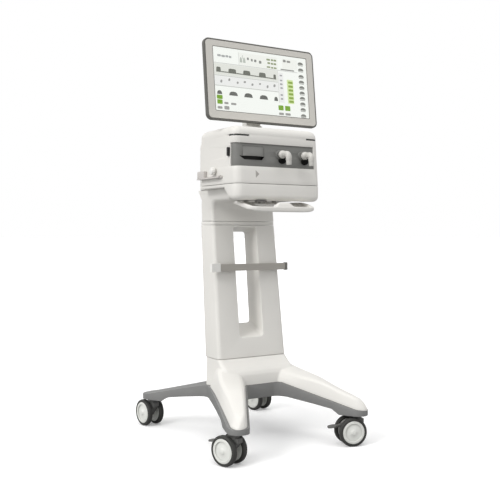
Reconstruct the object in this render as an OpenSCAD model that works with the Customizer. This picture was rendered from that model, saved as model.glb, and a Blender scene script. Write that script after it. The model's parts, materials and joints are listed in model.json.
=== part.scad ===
// Intensive-care mechanical ventilator on a four-legged caster trolley.
// Origin on the floor under the middle of the base, +Z up, screen faces -Y. Millimetres.
// Left is -X and right is +X, as seen by someone facing the screen.

/* [Casters] */
// Diameter of each caster wheel
wheel_d = 100; // [96:1:102]
// Horizontal offset between a caster's swivel axis and its wheel axle
trail = 25; // [22:1:27]
// Distance of every caster swivel axis from the middle plane
caster_x = 250; // [240:1:256]
// Front caster swivel axes, distance in front of the origin
caster_front = 345; // [340:1:350]
// Rear caster swivel axes, distance behind the origin
caster_rear = 280; // [276:1:286]

/* [Column] */
// Half width of the column at the base seam
col_hw_low = 145; // [142:1:147]
// Half width of the column under the head
col_hw_high = 136; // [134:1:138]
// Half width of the window through the column
slot_hw = 51; // [48:1:53]
// Half length of the equipment rail
rail_hl = 162; // [150:1:170]
// Height of the rail's centre line above the floor
rail_z = 620; // [560:1:680]

/* [Ventilator unit] */
// Half width of the unit housing
unit_hw = 178; // [176:1:180]
// Wall thickness of the moulded housings
wall = 3; // [2.5:0.1:3.5]
// Height of the patient port axes above the floor
port_z = 1020; // [1018:1:1024]
// Sideways position of the expiratory port
port_exp_x = 5; // [0:1:8]
// Sideways position of the inspiratory port
port_insp_x = 101; // [98:1:104]
// Outside radius of the conical port spigots
nozzle_r = 11; // [10.5:0.1:11.2]

/* [Monitor] */
// Width of the monitor
mon_w = 467; // [460:1:470]
// Height of the monitor
mon_h = 291; // [286:1:294]
// Rearward lean of the monitor at rest, degrees
mon_lean = 6.2; // [5:0.1:8]
// Width of the visible display
disp_w = 398; // [390:1:402]
// Height of the visible display
disp_h = 228; // [222:1:232]

/* [Hidden] */
$fn = 64;

run = 0.05;               // running clearance on the radius
sides = [-1, 1];

white = [0.92, 0.91, 0.89];
panel_grey = [0.80, 0.78, 0.76];
frame_grey = [0.52, 0.52, 0.52];
band_grey = [0.45, 0.45, 0.44];
dark = [0.16, 0.16, 0.16];
steel = [0.70, 0.70, 0.70];
elbow_grey = "#bfbfba";
fork_grey = "#6f6f6e";
hub_white = "#e1e2dc";
tyre_black = "#292927";
pedal_grey = "#7d7d7b";

// ---------- shared shapes ----------
// In all sections, inset shrinks an outline by that much on every side it applies to.

// rounded rectangle centred on the origin, exact arcs
module rounded_rect(width, height, radius) {
    difference() {
        square([width, height], center = true);
        for (sx = sides, sy = sides)
            translate([sx * (width / 2 - radius / 2 + 0.5), sy * (height / 2 - radius / 2 + 0.5)])
                square([radius + 1, radius + 1], center = true);
    }
    for (sx = sides, sy = sides)
        translate([sx * (width / 2 - radius), sy * (height / 2 - radius)]) circle(radius);
}

// centred rods along X and Y
module x_rod(length, radius) {
    rotate([0, 90, 0]) cylinder(h = length, r = radius, center = true);
}
module y_rod(length, radius) {
    rotate([90, 0, 0]) cylinder(h = length, r = radius, center = true);
}

// profile in the (Y, Z) plane swept sideways, half_width to each side
module side_sweep(half_width) {
    rotate([90, 0, 90]) translate([0, 0, -half_width]) linear_extrude(2 * half_width) children();
}
// profile in the (X, Z) plane swept from y0 to y1
module front_sweep(y0, y1) {
    translate([0, y1, 0]) rotate([90, 0, 0]) linear_extrude(y1 - y0) children();
}
// profile of [radius, z] points turned about Z
module turned(points) { rotate_extrude($fn = 96) polygon(points); }

// closes an outline given by its right half, [x, z]
function mirrored(right) =
    concat(right, [for (i = [len(right) - 1:-1:0]) [-right[i][0], right[i][1]]]);

// ---------- base ----------
hub_y = -32.5;            // middle of the base, on the line the four legs share
caster_reach = caster_front + hub_y;  // from hub_y to the swivel axes, along Y
leg_angle = 60.6;         // leg direction measured from the X axis
front_leg_r = 37;
rear_leg_r = 40;
leg_inner_s = -250;       // inner end of a leg, measured from its swivel axis
hub_hw = 152;
hub_wall_y = 79;          // front and rear walls of the hub, from hub_y
frame_wall = 7;
cover_wall = 4;
notch_centre = [227.9, 49.6];
notch_r = 70;
spine_x = 94;             // middle of each spine tube

// corners as [x side, y side], -1 in Y is the front
front_corners = [[1, -1], [-1, -1]];
all_corners = concat(front_corners, [[1, 1], [-1, 1]]);

// turned envelopes about the hub, [radius, z]
frame_profile = [[0, 150], [140, 150], [318, 125], [345, 107], [480, 107], [480, 121],
    [400, 131], [120, 200], [0, 200]];
channel_profile = [[40, 80], [352, 80], [352, 130], [120, 188], [40, 188]];
cover_underside = [[0, 0], [480, 0], [480, 122.5], [400, 131.5], [120, 200.5], [0, 200.5]];
cover_top = [[480, 121], [446, 131], [439, 143], [428, 154], [414, 163], [395, 171],
    [373, 179], [301, 205], [185, 248], [0, 248]];

// levels of the hub cover: z, half width, front y, back y, corner radius
function hub_levels(inset) = [
    [288.5, col_hw_low, -50.5, 47.5, 12],
    [262, col_hw_low + 0.8, -76, 47.5, 12],
    [240, col_hw_low + 1.5, -103, 47, 14],
    [184 + inset, 149, -108.5, 46, 14]
];

module at_hub() { translate([0, hub_y, 0]) children(); }
module at_swivels() {
    for (corner = all_corners)
        translate([corner[0] * caster_x, corner[1] * caster_reach, 0]) children();
}
module at_base_screws() { for (sx = sides, sy = sides) translate([sx * 24, sy * 20, 0]) children(); }

// point past a leg's swivel axis by along, and towards its inner side by across
function leg_point(along, across, corner) = [
    corner[0] * (caster_x + cos(leg_angle) * along - sin(leg_angle) * across),
    corner[1] * (caster_reach + sin(leg_angle) * along + cos(leg_angle) * across)
];

// plan of one leg: the front legs widen towards the hub, the rear legs keep their width
module leg_plan(inset, corner) {
    if (corner[1] < 0) hull() {
        translate(leg_point(5, 10, corner)) circle(front_leg_r - inset);
        translate(leg_point(leg_inner_s, 10, corner)) circle(front_leg_r - inset, $fn = 32);
        translate([corner[0] * 132.6, 50]) circle(20 - inset, $fn = 32);
    }
    else hull() {
        translate(leg_point(0, 0, corner)) circle(rear_leg_r - inset);
        translate(leg_point(leg_inner_s, 0, corner)) circle(rear_leg_r - inset, $fn = 32);
    }
}

// plan of the hub and the given legs about (0, hub_y)
module base_plan(inset, wall_y, corners) {
    difference() {
        union() {
            square([2 * (hub_hw - inset), 2 * wall_y], center = true);
            for (corner = corners) leg_plan(inset, corner);
            // filling that the notch between front and rear leg is cut into
            if (len(corners) == 4) for (sx = sides)
                polygon([for (p = [[140, 56], [161.8, 26.7], notch_centre, [167, 83.9]])
                    [sx * p[0], p[1]]]);
        }
        for (sx = sides) translate([sx * notch_centre[0], notch_centre[1]]) circle(notch_r + inset);
    }
}

module base_frame() {
    color(frame_grey) at_hub() difference() {
        intersection() {
            translate([0, 0, 90]) linear_extrude(130) base_plan(0, hub_wall_y, all_corners);
            turned(frame_profile);
        }
        // open channel on the underside
        intersection() {
            translate([0, 0, 80]) linear_extrude(130)
                base_plan(frame_wall, hub_wall_y - frame_wall, all_corners);
            turned(channel_profile);
        }
        // caster socket seats
        at_swivels() translate([0, 0, 100]) cylinder(h = 24.7, r = 13.2);
        // mounting holes for the column screws, and room for their heads
        at_base_screws() translate([0, 0, 180]) cylinder(h = 40, r = 4.5, $fn = 32);
        at_base_screws() translate([0, 0, 140]) cylinder(h = 50, r = 8, $fn = 32);
    }
}

module caster_sockets() {
    color(steel) at_hub() at_swivels() difference() {
        union() {
            translate([0, 0, 105]) cylinder(h = 19.5, r = 13);
            translate([0, 0, 105]) cylinder(h = 2, r = 17);
        }
        translate([0, 0, 100]) cylinder(h = 30, r = 8 + run);
    }
}

// thin slice of the hub cover at one row of hub_levels
module hub_slab(level, inset) {
    front = level[2];
    back = level[3];
    translate([0, (front + back) / 2, level[0] - inset]) linear_extrude(0.5)
        rounded_rect(2 * (level[1] - inset), back - front - 2 * inset, level[4], $fn = 32);
}

module cover_solid(inset) {
    at_hub() intersection() {
        translate([0, 0, 100]) linear_extrude(180) base_plan(8 + inset, 40, front_corners);
        turned(concat([[0, 0], [480, 0]], [for (p = cover_top) [p[0], p[1] - inset]]));
    }
    levels = hub_levels(inset);
    for (i = [0:2]) hull() {
        hub_slab(levels[i], inset);
        hub_slab(levels[i + 1], inset);
    }
}

module base_cover() {
    color(white) difference() {
        cover_solid(0);
        cover_solid(cover_wall);
        at_hub() turned(cover_underside);
        // openings for the spine tubes
        for (sx = sides) translate([sx * spine_x - 16, -34, 280]) cube([32, 46, 20]);
    }
}

module base_screws() {
    color(steel) at_hub() at_base_screws() translate([0, 0, 182]) {
        cylinder(h = 30, r = 4, $fn = 32);
        cylinder(h = 7.5, r = 6.5, $fn = 6);
    }
}

// ---------- column ----------
col_seam_z = 290;         // reference height of the base seam
col_rise = 529;           // height over which the column tapers
col_head_z = col_seam_z + col_rise;
shell_bottom = 289.5;
shell_top = 775;
col_wall = 4;
spine_top = 892.3;
arm_fillet = [-14, 832];  // centre of the concave fillet, [y, z]
arm_bottom = 862;
window_sill = [[-80, 330], [-43, 362], [70, 408], [120, 428]];    // [y, z]
window_head = [[120, 738], [98, 750], [10, 769], [-80, 786]];     // [y, z]

// front face, back face and half width of the column at height z
function col_front(z) = -52 + (z - col_seam_z) * 66.4 / col_rise;
function col_back(z) = 47.6 + (z - col_seam_z) * 55.4 / col_rise;
function col_hw(z) = col_hw_low - (z - col_seam_z) * (col_hw_low - col_hw_high) / col_rise;

// tapering column between two heights, with its own inset for the back face
module col_body(inset, bottom, top, back_inset) {
    intersection() {
        side_sweep(200) polygon([
            [col_front(bottom) + inset, bottom],
            [col_front(top) + inset, top],
            [col_back(top) - back_inset, top],
            [col_back(bottom) - back_inset, bottom]
        ]);
        front_sweep(-150, 200)
            polygon(mirrored([[col_hw(bottom) - inset, bottom], [col_hw(top) - inset, top]]));
    }
}

// window through the column with a sloping sill and head, larger by margin
module col_window(margin) {
    side_sweep(slot_hw + margin) polygon(concat(
        [for (p = window_sill) p - [0, margin]],
        [for (p = window_head) p + [0, margin]]
    ));
}

module column_shell() {
    color(white) difference() {
        col_body(0, shell_bottom, shell_top, 4);
        difference() {
            col_body(col_wall, shell_bottom - 10, shell_top + 10, -10);
            // walls around the window
            col_window(col_wall);
            // stiffening floor, drilled for the spine
            translate([-130, -60, 300]) cube([260, 150, 6]);
        }
        col_window(0);
        for (sx = sides) translate([sx * spine_x - 16, -31, 290]) cube([32, 60, 30]);
    }
}

module column_back() {
    color(panel_grey) difference() {
        col_body(0.5, shell_bottom + 1, shell_top - 1, 0);
        col_body(-10, shell_bottom - 10, shell_top + 10, 3.8);
        col_window(0);
    }
}

module spine_tubes(bottom, top, inset) {
    for (sx = sides) translate([sx * spine_x, 0, 0]) side_sweep(14 - inset) polygon([
        [col_front(bottom) + 22 + inset, bottom],
        [col_front(top) + 30 + inset, top],
        [col_front(top) + 62 - inset, top],
        [col_front(bottom) + 60 - inset, bottom]
    ]);
}

// screw holes shared by the spine, the head and the unit tray
module unit_screw_holes(bottom, height) {
    for (sx = sides, sy = sides)
        translate([sx * 80, -30 + sy * 50, bottom]) cylinder(h = height, r = 3.3, $fn = 32);
}

// two upright tubes with a foot plate and a head plate
module column_spine() {
    color(steel) difference() {
        union() {
            spine_tubes(252, spine_top, 0);
            translate([-110, -56, 250]) cube([220, 66, 8]);
            // foot plate on the frame, with two ribs up to the cross plate
            translate([-38, hub_y - 28, 200.2]) cube([76, 56, 6]);
            for (sx = sides) translate([sx * 34 - 4, hub_y - 22, 200.2]) cube([8, 42, 51]);
            translate([-118, -118, spine_top]) cube([236, 208, 8]);
        }
        spine_tubes(262, 888, 4);
        at_hub() at_base_screws() translate([0, 0, 195]) cylinder(h = 25, r = 4.5, $fn = 32);
        unit_screw_holes(885, 30);
    }
}

// side profile of the head, [y, z]
module head_profile(inset) {
    seam = shell_top + 1;
    difference() {
        polygon([
            [col_front(seam) + inset, seam],
            [col_front(832) + inset, 832],
            arm_fillet,
            [arm_fillet[0], arm_bottom + inset],
            [-111, arm_bottom + inset],
            [-149.5 + inset, 904.5 - inset],
            [103 - inset, 904.5 - inset],
            [103 - inset, col_head_z],
            [col_back(seam) - inset, seam]
        ]);
        // concave fillet between the column front and the arm
        translate(arm_fillet) circle(30 + inset);
        translate([-60, 790]) square([46.1, 72 + inset]);
    }
}

module head_solid(inset, bottom) {
    intersection() {
        side_sweep(160) head_profile(inset);
        front_sweep(-200, 150) polygon(mirrored([
            [col_hw(shell_top) - inset, bottom],
            [col_hw(col_head_z) - inset, col_head_z],
            [140 - inset, arm_bottom],
            [146 - inset, 905]
        ]));
    }
}

// lower collar, upper column and the forward arm as one moulding
module column_head() {
    color(white) difference() {
        head_solid(0, shell_top);
        head_solid(col_wall, shell_top - 5);
        // open underside above the column
        intersection() {
            col_body(col_wall, shell_top - 20, 800, 4);
            translate([-150, -100, shell_top - 10]) cube([300, 300, 30]);
        }
        // shallow seam around the collar
        difference() {
            translate([-200, -200, 788]) cube([400, 400, 1.5]);
            col_body(1, 770, 800, 1);
        }
        unit_screw_holes(895, 20);
    }
}

// ---------- push handle ----------
handle_screw_x = 60;
handle_screw_r = 3.2;

// scoop-shaped handle under the unit
module push_handle() {
    color(white) difference() {
        union() {
            // front bar
            translate([0, -236, 828]) rotate([8, 0, 0]) intersection() {
                rotate([90, 0, 0]) translate([0, 0, -17]) linear_extrude(34)
                    rounded_rect(252, 20, 9);
                translate([0, 0, -12]) linear_extrude(24) rounded_rect(252, 34, 14);
            }
            // side arms rising to the underside of the arm
            for (sx = sides) hull() {
                translate([sx * 118, -228, 829]) rotate([90, 0, 0])
                    cylinder(h = 18, r = 8.5, center = true, $fn = 32);
                translate([sx * 146, -205, 846]) sphere(r = 8, $fn = 32);
                translate([sx * 108, -140, 855.5]) cylinder(h = 6, r = 15, $fn = 32);
            }
            // rear cross web screwed to the arm
            translate([-112, -150, 850.5]) cube([224, 62, 6]);
            // raised lip in the middle of the tray
            translate([0, -205, 836]) rotate([-16, 0, 0]) linear_extrude(6)
                rounded_rect(236, 44, 8);
        }
        // hand opening
        translate([0, -186, 815]) linear_extrude(70) rounded_rect(150, 36, 12);
        for (sx = sides) translate([sx * handle_screw_x, -108, 840])
            cylinder(h = 30, r = handle_screw_r, $fn = 32);
        // level top
        translate([-300, -300, 858.5]) cube([600, 600, 30]);
    }
    // screw bosses on the cross web
    color(white) for (sx = sides) translate([sx * handle_screw_x, -100, 856.5]) difference() {
        cylinder(h = 5.5, r = 9, $fn = 32);
        translate([0, -8, -1]) cylinder(h = 10, r = handle_screw_r, $fn = 32);
    }
}

// ---------- equipment rail ----------
rail_y = -35;             // front face of the rail
rail_depth = 10;
rail_height = 25;
cap_left_cover = 33;      // rail length covered by each end cap
cap_right_cover = 8;
cap_gap = 0.5;

// thinner core that runs on into the end caps
module rail_core(start, length) {
    translate([start, rail_y + 2, rail_z - 9.5]) cube([length, 6, 19]);
}

module rail_bar() {
    start = -rail_hl + cap_left_cover + cap_gap;
    end = rail_hl - cap_right_cover - cap_gap;
    color("#94918a") {
        translate([start, rail_y, rail_z - rail_height / 2])
            cube([end - start, rail_depth, rail_height]);
        rail_core(-rail_hl, 2 * rail_hl);
    }
}

// rods from the rail to the sloping column front
module rail_standoffs() {
    color(steel) for (sx = sides) translate([sx * 96, 0, rail_z]) intersection() {
        translate([0, -12, 0]) y_rod(40, 8);
        side_sweep(20) polygon([
            [-25, -20],
            [-25, 20],
            [col_front(rail_z + 20) - 0.1, 20],
            [col_front(rail_z - 20) - 0.1, -20]
        ]);
    }
}

// end cap on the given side, covering a length of rail with a skin around it
module rail_cap(side, cover, skin) {
    length = cover + skin;
    start = side < 0 ? -rail_hl - skin : rail_hl - cover;
    difference() {
        translate([start, rail_y - skin, rail_z - rail_height / 2 - skin])
            cube([length, rail_depth + 2 * skin, rail_height + 2 * skin]);
        rail_core(start + (side < 0 ? skin : -1), cover + 1);
    }
}
module rail_cap_left() { color("#f2efe8") rail_cap(-1, cap_left_cover, 3); }
module rail_cap_right() { color("#7e7d79") rail_cap(1, cap_right_cover, 2); }

// ---------- ventilator unit: housing and tray ----------
unit_bottom = 916.5;
unit_top = 1115;
unit_lean = 5.04;         // rearward lean of the front face, degrees
unit_front = -229.6;      // front face at lean_z
lean_z = 915;
unit_back = 28;           // back of the wide part
box_back = 92;            // back of the narrower rear box
box_top = 1088;
corner_r = 28;            // rounded vertical edges
cut_bottom = 900;         // start of cutting bodies, below the housing
tray_bottom = 905;
bumper_profile = [[-230, 877], [-212, 859], [-196, 859], [-150, 906], [-150, 914.9],
    [-230, 914.9]];       // [y, z]
knob_y = -85;
knob_z = 964;

// wide part of the housing: leaning front, rounded vertical front and top edges
module unit_outer(inset, bottom = cut_bottom, top = unit_top) {
    straight = top - 28 - bottom;
    intersection() {
        translate([0, unit_front, lean_z]) rotate([-unit_lean, 0, 0])
            translate([0, -unit_front, -80]) linear_extrude(330) translate([0, 60])
                rounded_rect(2 * (unit_hw - inset), 2 * (60 - unit_front - inset),
                    corner_r - inset);
        front_sweep(-300, unit_back - inset) union() {
            translate([0, bottom + straight / 2])
                square([2 * (unit_hw - inset), straight], center = true);
            translate([0, top - inset - 40]) rounded_rect(2 * (unit_hw - inset), 80, 26);
        }
        side_sweep(200) union() {
            translate([-120, bottom + straight / 2]) square([360, straight], center = true);
            translate([(-213.2 + unit_back) / 2, top - inset - 40])
                rounded_rect(unit_back + 213.2 - 2 * inset, 80, 22);
        }
    }
}

// layer of the wide part between two insets
module unit_layer(outer, inner, extra_top = 0) {
    difference() {
        unit_outer(outer);
        unit_outer(inner, top = unit_top + extra_top);
    }
}

module rear_box(inset, drop) {
    translate([0, 0, unit_bottom - drop]) linear_extrude(box_top - inset - unit_bottom + drop)
        rounded_rect(2 * (150 - inset), 2 * (box_back - inset), 16 - inset);
}

// whole housing; an inset one also runs out through the bottom
module unit_solid(inset) {
    hollow = inset > 0 ? 1 : 0;
    intersection() {
        union() {
            unit_outer(inset, unit_bottom - 6 * hollow);
            rear_box(inset, 5 * hollow);
        }
        translate([-300, -300, unit_bottom - 10 * hollow]) cube([600, 600, 400]);
    }
}

// space taken by the port band: the front and a return round the left corner
module band_zone() {
    intersection() {
        translate([-200, -240, 975]) cube([351, 300, 80]);
        union() {
            translate([-180, -240, 900]) cube([400, 60, 300]);
            translate([-200, -240, 900]) cube([60, 50, 300]);
        }
    }
}
// tall blocks that limit the band at the front and at the left corner
module band_limits(start, width) {
    translate([start, -260, 900]) cube([width, 80, 300]);
    translate([-200, -260, 900]) cube([60, 70, 300]);
}

module unit_housing() {
    color(white) difference() {
        unit_solid(0);
        difference() {
            unit_solid(wall);
            // inner ledge that carries the port band
            intersection() {
                translate([-200, -240, 968]) cube([359, 60, 94]);
                unit_layer(wall, 9, 5);
            }
        }
        // opening for the port band
        intersection() {
            band_zone();
            union() { band_limits(-172, 345); }
            unit_layer(-5, 7);
        }
        intersection() {
            translate([-172, -245, 980]) cube([318, 60, 70]);
            unit_outer(-5);
        }
        // alarm light slits across both front corners
        for (side = sides) alarm_zone(side, 0.1);
        // rear opening behind the panel
        translate([-136, box_back - 10, 930]) cube([272, 20, 146]);
        // seat for the neck
        translate([0, neck_y, unit_top - 10]) cylinder(h = 20, r = 12);
        // seats for the side latch and the knob
        translate([-unit_hw - 5, -188.5, 1009.5]) cube([15.3, 13, 31]);
        translate([-unit_hw, knob_y, knob_z]) x_rod(20, 4);
    }
}

// alarm light strip at one front corner, with a gap above and below
module alarm_zone(side, gap) {
    intersection() {
        unit_layer(-1, 2.6);
        translate([side > 0 ? 118 : -182, -240, 1078 - gap])
            cube([64, side > 0 ? 34 : 60, 7 + 2 * gap]);
    }
}
module alarm_lights() {
    color("#1c1c1a") intersection() {
        union() { for (side = sides) alarm_zone(side, 0); }
        unit_outer(0.6);
    }
}

// lower tray with the rounded front bumper
module unit_tray() {
    color(white) difference() {
        union() {
            intersection() {
                translate([0, 0, tray_bottom]) linear_extrude(10)
                    translate([0, (unit_back - 230) / 2])
                        rounded_rect(2 * unit_hw, unit_back + 230, corner_r);
                translate([-200, -240, 900]) cube([400, 268, 15]);
            }
            translate([0, 0, tray_bottom]) linear_extrude(10)
                rounded_rect(300, 2 * box_back, 16);
            // bumper
            intersection() {
                translate([0, 0, 850]) linear_extrude(65) translate([0, -101])
                    rounded_rect(2 * unit_hw, 258, corner_r);
                side_sweep(200) union() {
                    polygon(bumper_profile);
                    translate([-212, 877]) circle(18);
                }
                front_sweep(-300, 0) union() {
                    translate([0, 895]) square([2 * unit_hw, 40], center = true);
                    translate([0, 889]) rounded_rect(2 * unit_hw, 60, 20);
                }
            }
        }
        // hollow bumper
        translate([-160, -224, 868]) cube([320, 30, 41]);
        // weight saving inside the tray floor
        for (sx = sides) translate([sx * 95 - 45, -120, 900]) cube([90, 100, 20]);
        unit_screw_holes(895, 30);
    }
}

// ---------- ventilator unit: patient side ----------
port_xs = [port_exp_x, port_insp_x];
hatch_x = -102;           // middle of the hatch
hinge_y = -219.5;
hinge_z = 1044;
hinge_pin_r = 2;

module at_ports(y) { for (x = port_xs) translate([x, y, port_z]) children(); }
module at_hinge() { translate([hatch_x, hinge_y, hinge_z]) children(); }

// dark recessed band carrying the patient ports
module port_panel() {
    color(band_grey) difference() {
        union() {
            // skin of the band
            intersection() {
                unit_layer(3.2, 7, 4);
                band_zone();
                translate([-200, -300, 975.2]) cube([351, 110, 79.6]);
                union() { band_limits(-171.8, 344); }
            }
            // thick middle
            intersection() {
                unit_layer(3.2, 20, 10);
                translate([-150, -245, 982]) cube([294, 50, 66]);
            }
            // port sockets, and their collars proud of the band
            at_ports(-200) y_rod(50, 17);
            at_ports(-220) y_rod(9, 15.5);
            // hatch hinge lugs
            at_hinge() for (sx = sides) translate([sx * 45, 0, 0]) {
                x_rod(6, 4.5);
                translate([-3, 0, -4.5]) cube([6, 9, 9]);
            }
        }
        at_ports(-200) y_rod(80, 9 + run);
        // opening behind the hatch, hinge pin bore and hinge clearance
        translate([hatch_x - 44, -245, 997]) cube([88, 60, 42]);
        at_hinge() x_rod(96.4, hinge_pin_r + run);
        translate([hatch_x - 42.2, -245, 1030]) cube([84.4, 60, 20]);
    }
}

// swelling over the lower edge that a finger hooks under
module hood(inset) {
    bottom = 1009 - 4 * inset;
    translate([hatch_x, 0, 0]) intersection() {
        side_sweep(47 - inset) polygon([
            [-219, 1037 - inset],
            [-226 + inset, 1031 - inset],
            [-231 + inset, 1013],
            [-231 + inset, bottom],
            [-219, bottom]
        ]);
        front_sweep(-260, -200) polygon(mirrored([
            [38 - inset, 1038 - inset],
            [47 - inset, 1014],
            [40 - inset, bottom]
        ]));
    }
}

// top-hinged hatch with a finger hood along its lower edge
module access_hatch() {
    color(band_grey) difference() {
        union() {
            translate([hatch_x - 42, -220, 1011]) cube([84, 3, 33]);
            at_hinge() x_rod(83.6, 4.2);
            at_hinge() x_rod(94, hinge_pin_r);
            hood(0);
        }
        hood(2.5);
    }
}

module sensor_cassette() {
    color("#b9bbbb") translate([hatch_x, -206, 0]) difference() {
        translate([-43, 0, 998]) cube([86, 60, 38]);
        translate([0, 0, 1020]) y_rod(20, 7);
        for (sx = sides) translate([sx * 26, 0, 1020]) y_rod(12, 4);
    }
}

// right-angle patient connector, turning down at turn_y
module elbow() {
    turn_y = -275;
    bore_r = 7;
    difference() {
        union() {
            translate([0, -214, 0]) y_rod(48, 9);
            translate([0, -238, 0]) sphere(r = 15);
            translate([0, -256, 0]) y_rod(38, 10.5);
            translate([0, turn_y, 0]) {
                sphere(r = 10.5);
                translate([0, 0, -22]) cylinder(h = 22, r = 10);
                translate([0, 0, -39]) cylinder(h = 21, r = nozzle_r);
                translate([0, 0, -20.5]) cylinder(h = 3, r = nozzle_r + 1);
            }
        }
        translate([0, -226, 0]) y_rod(98, bore_r);
        translate([0, turn_y, -45]) cylinder(h = 45, r = bore_r);
        translate([0, turn_y, 0]) sphere(r = bore_r);
    }
}
module exp_elbow() { color(elbow_grey) translate([port_exp_x, 0, port_z]) elbow(); }
module insp_elbow() { color(elbow_grey) translate([port_insp_x, 0, port_z]) elbow(); }

// ---------- ventilator unit: rear and left side ----------
gas_xs = [-85, -45];
gas_z = 1000;
inlet_x = 60;
switch_x = 100;
power_z = 950;            // mains inlet and switch
fan_x = 70;
fan_z = 1035;

module rear_panel() {
    color("#8a8b8b") difference() {
        translate([-135.8, box_back - 7.5, 930.2]) cube([271.6, 4, 145.6]);
        for (x = gas_xs) translate([x, box_back, gas_z]) y_rod(30, 11);
        translate([inlet_x - 15, box_back - 20, power_z - 12]) cube([30, 30, 24]);
        translate([switch_x - 7, box_back - 20, power_z - 11]) cube([14, 30, 22]);
        translate([fan_x, box_back, fan_z]) y_rod(30, 26);
        // corner screw holes
        for (sx = sides, z = [936, 1070])
            translate([sx * 130, box_back, z]) y_rod(30, 1.7, $fn = 32);
        // row of slots
        for (i = [0:5]) translate([-110, box_back - 20, 1040 + i * 5]) cube([110, 30, 2.2]);
    }
}

module gas_inlets() {
    color("#c8b070") for (x = gas_xs) translate([x, box_back, gas_z]) difference() {
        union() {
            translate([0, -12, 0]) y_rod(40, 10.9);
            translate([0, 16, 0]) y_rod(18, 8);
            translate([0, -1, 0]) rotate([90, 0, 0])
                cylinder(h = 5, r = 14, center = true, $fn = 6);
        }
        y_rod(90, 4);
    }
}

module power_inlet() {
    translate([inlet_x, box_back, power_z]) {
        color(dark) difference() {
            union() {
                translate([-14.8, -26, -11.8]) cube([29.6, 24.6, 23.6]);
                translate([-20, -3.4, -16]) cube([40, 3, 32]);
            }
            translate([-11.5, -20, -8]) cube([23, 30, 16]);
        }
        // contact pins, [x, z]
        color(steel) for (pin = [[-6, 3], [6, 3], [0, -3]])
            translate([pin[0] - 1, -21, pin[1] - 2]) cube([2, 16, 4]);
    }
}

// rocker switch: trunnion axis along Z
module power_switch() {
    color(dark) translate([switch_x, box_back - 10, power_z]) difference() {
        intersection() {
            cylinder(h = 20, r = 9.6, center = true);
            translate([-5.8, -2, -10]) cube([11.6, 20, 20]);
        }
        translate([0, 17.4, 0]) cylinder(h = 30, r = 9, center = true);
    }
}

// gas module bracket on the left side
module side_bracket() {
    color("#9b9a96") translate([-unit_hw, 0, 0]) {
        translate([-16, -160, 938]) cube([15.9, 186, 3.5]);
        translate([-14, -22, 941.5]) cube([13.9, 48, 27]);
        translate([-3.1, -158, 941.5]) cube([3, 136, 12]);
    }
}

// fluted knob on a short spindle
module side_knob() {
    color("#efeeea") translate([-unit_hw - 12, knob_y, knob_z]) difference() {
        union() {
            x_rod(14, 14);
            translate([10, 0, 0]) x_rod(14, 4 - run);
        }
        for (i = [0:11]) rotate([i * 30, 0, 0]) translate([0, 14.6, 0]) x_rod(20, 1.4, $fn = 16);
    }
}

module side_latch() {
    color(dark) translate([-unit_hw, -182, 1025]) rotate([90, 0, 90]) translate([0, 0, -7])
        linear_extrude(14) rounded_rect(12, 30, 4);
}

// ---------- ventilator unit: inside ----------
board_size = [280, 150, 1.6];
board_margin = 8;         // from the board edges to the posts
blower_at = [40, -110, 985];
blower_shaft_r = 3;
fan_shaft_r = 2;

module at_board_posts() {
    for (x = [board_margin, board_size[0] - board_margin])
        for (y = [board_margin, board_size[1] - board_margin])
            translate([x, y, 0]) children();
}

module mainboard() {
    translate([-140, -150, 1060]) {
        color("#2d6a3c") difference() {
            union() {
                cube(board_size);
                at_board_posts() translate([0, 0, 1.5]) cylinder(h = 50.5, r = 3.5, $fn = 32);
            }
            at_board_posts() translate([0, 0, -1]) cylinder(h = 12, r = 1.6, $fn = 32);
        }
        // three blocks and a row of round parts on the top face
        color(dark) translate([0, 0, board_size[2]]) {
            translate([50, 40, 0]) cube([36, 36, 4]);
            translate([120, 30, 0]) cube([24, 24, 3]);
            translate([180, 80, 0]) cube([50, 18, 10]);
            for (i = [0:5]) translate([20 + i * 22, 120, 0]) cylinder(h = 12, r = 4, $fn = 32);
        }
    }
}

// hollow case with slots in its top
module power_supply() {
    color("#9a9da0") translate([20, -20, 915]) difference() {
        cube([100, 80, 47]);
        for (i = [0:7]) translate([8 + i * 11, 10, 40]) cube([5, 60, 12]);
        translate([4, 4, 6]) cube([92, 72, 36]);
    }
}

module battery_packs() {
    color("#3a4450") for (x = [-150, -95]) translate([x, -120, 915]) difference() {
        cube([50, 120, 43]);
        translate([15, 110, 33]) cube([20, 20, 6]);
    }
}

// centrifugal blower for the gas supply
module blower_housing() {
    color("#b0b3b5") translate(blower_at) difference() {
        union() {
            cylinder(h = 46, r = 46);
            // outlet duct
            translate([-60, 22, 8]) cube([60, 24, 30]);
            // legs
            for (i = [0:2]) rotate([0, 0, i * 120 + 60]) translate([38, 0, -70])
                cylinder(h = 71, r = 4, $fn = 32);
        }
        translate([0, 0, 3]) cylinder(h = 40, r = 42);
        translate([0, 0, 30]) cylinder(h = 30, r = 16);
        translate([0, 0, -5]) cylinder(h = 20, r = blower_shaft_r + run);
        translate([-70, 26, 12]) cube([60, 16, 22]);
    }
}
module blower_impeller() {
    color("#d8d8d8") translate(blower_at) {
        translate([0, 0, 6]) cylinder(h = 3, r = 38);
        translate([0, 0, -2]) cylinder(h = 30, r = blower_shaft_r);
        translate([0, 0, 6]) cylinder(h = 14, r = 9);
        for (i = [0:8]) rotate([0, 0, i * 40]) translate([8, -1, 6]) cube([29, 2, 22]);
    }
}

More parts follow.
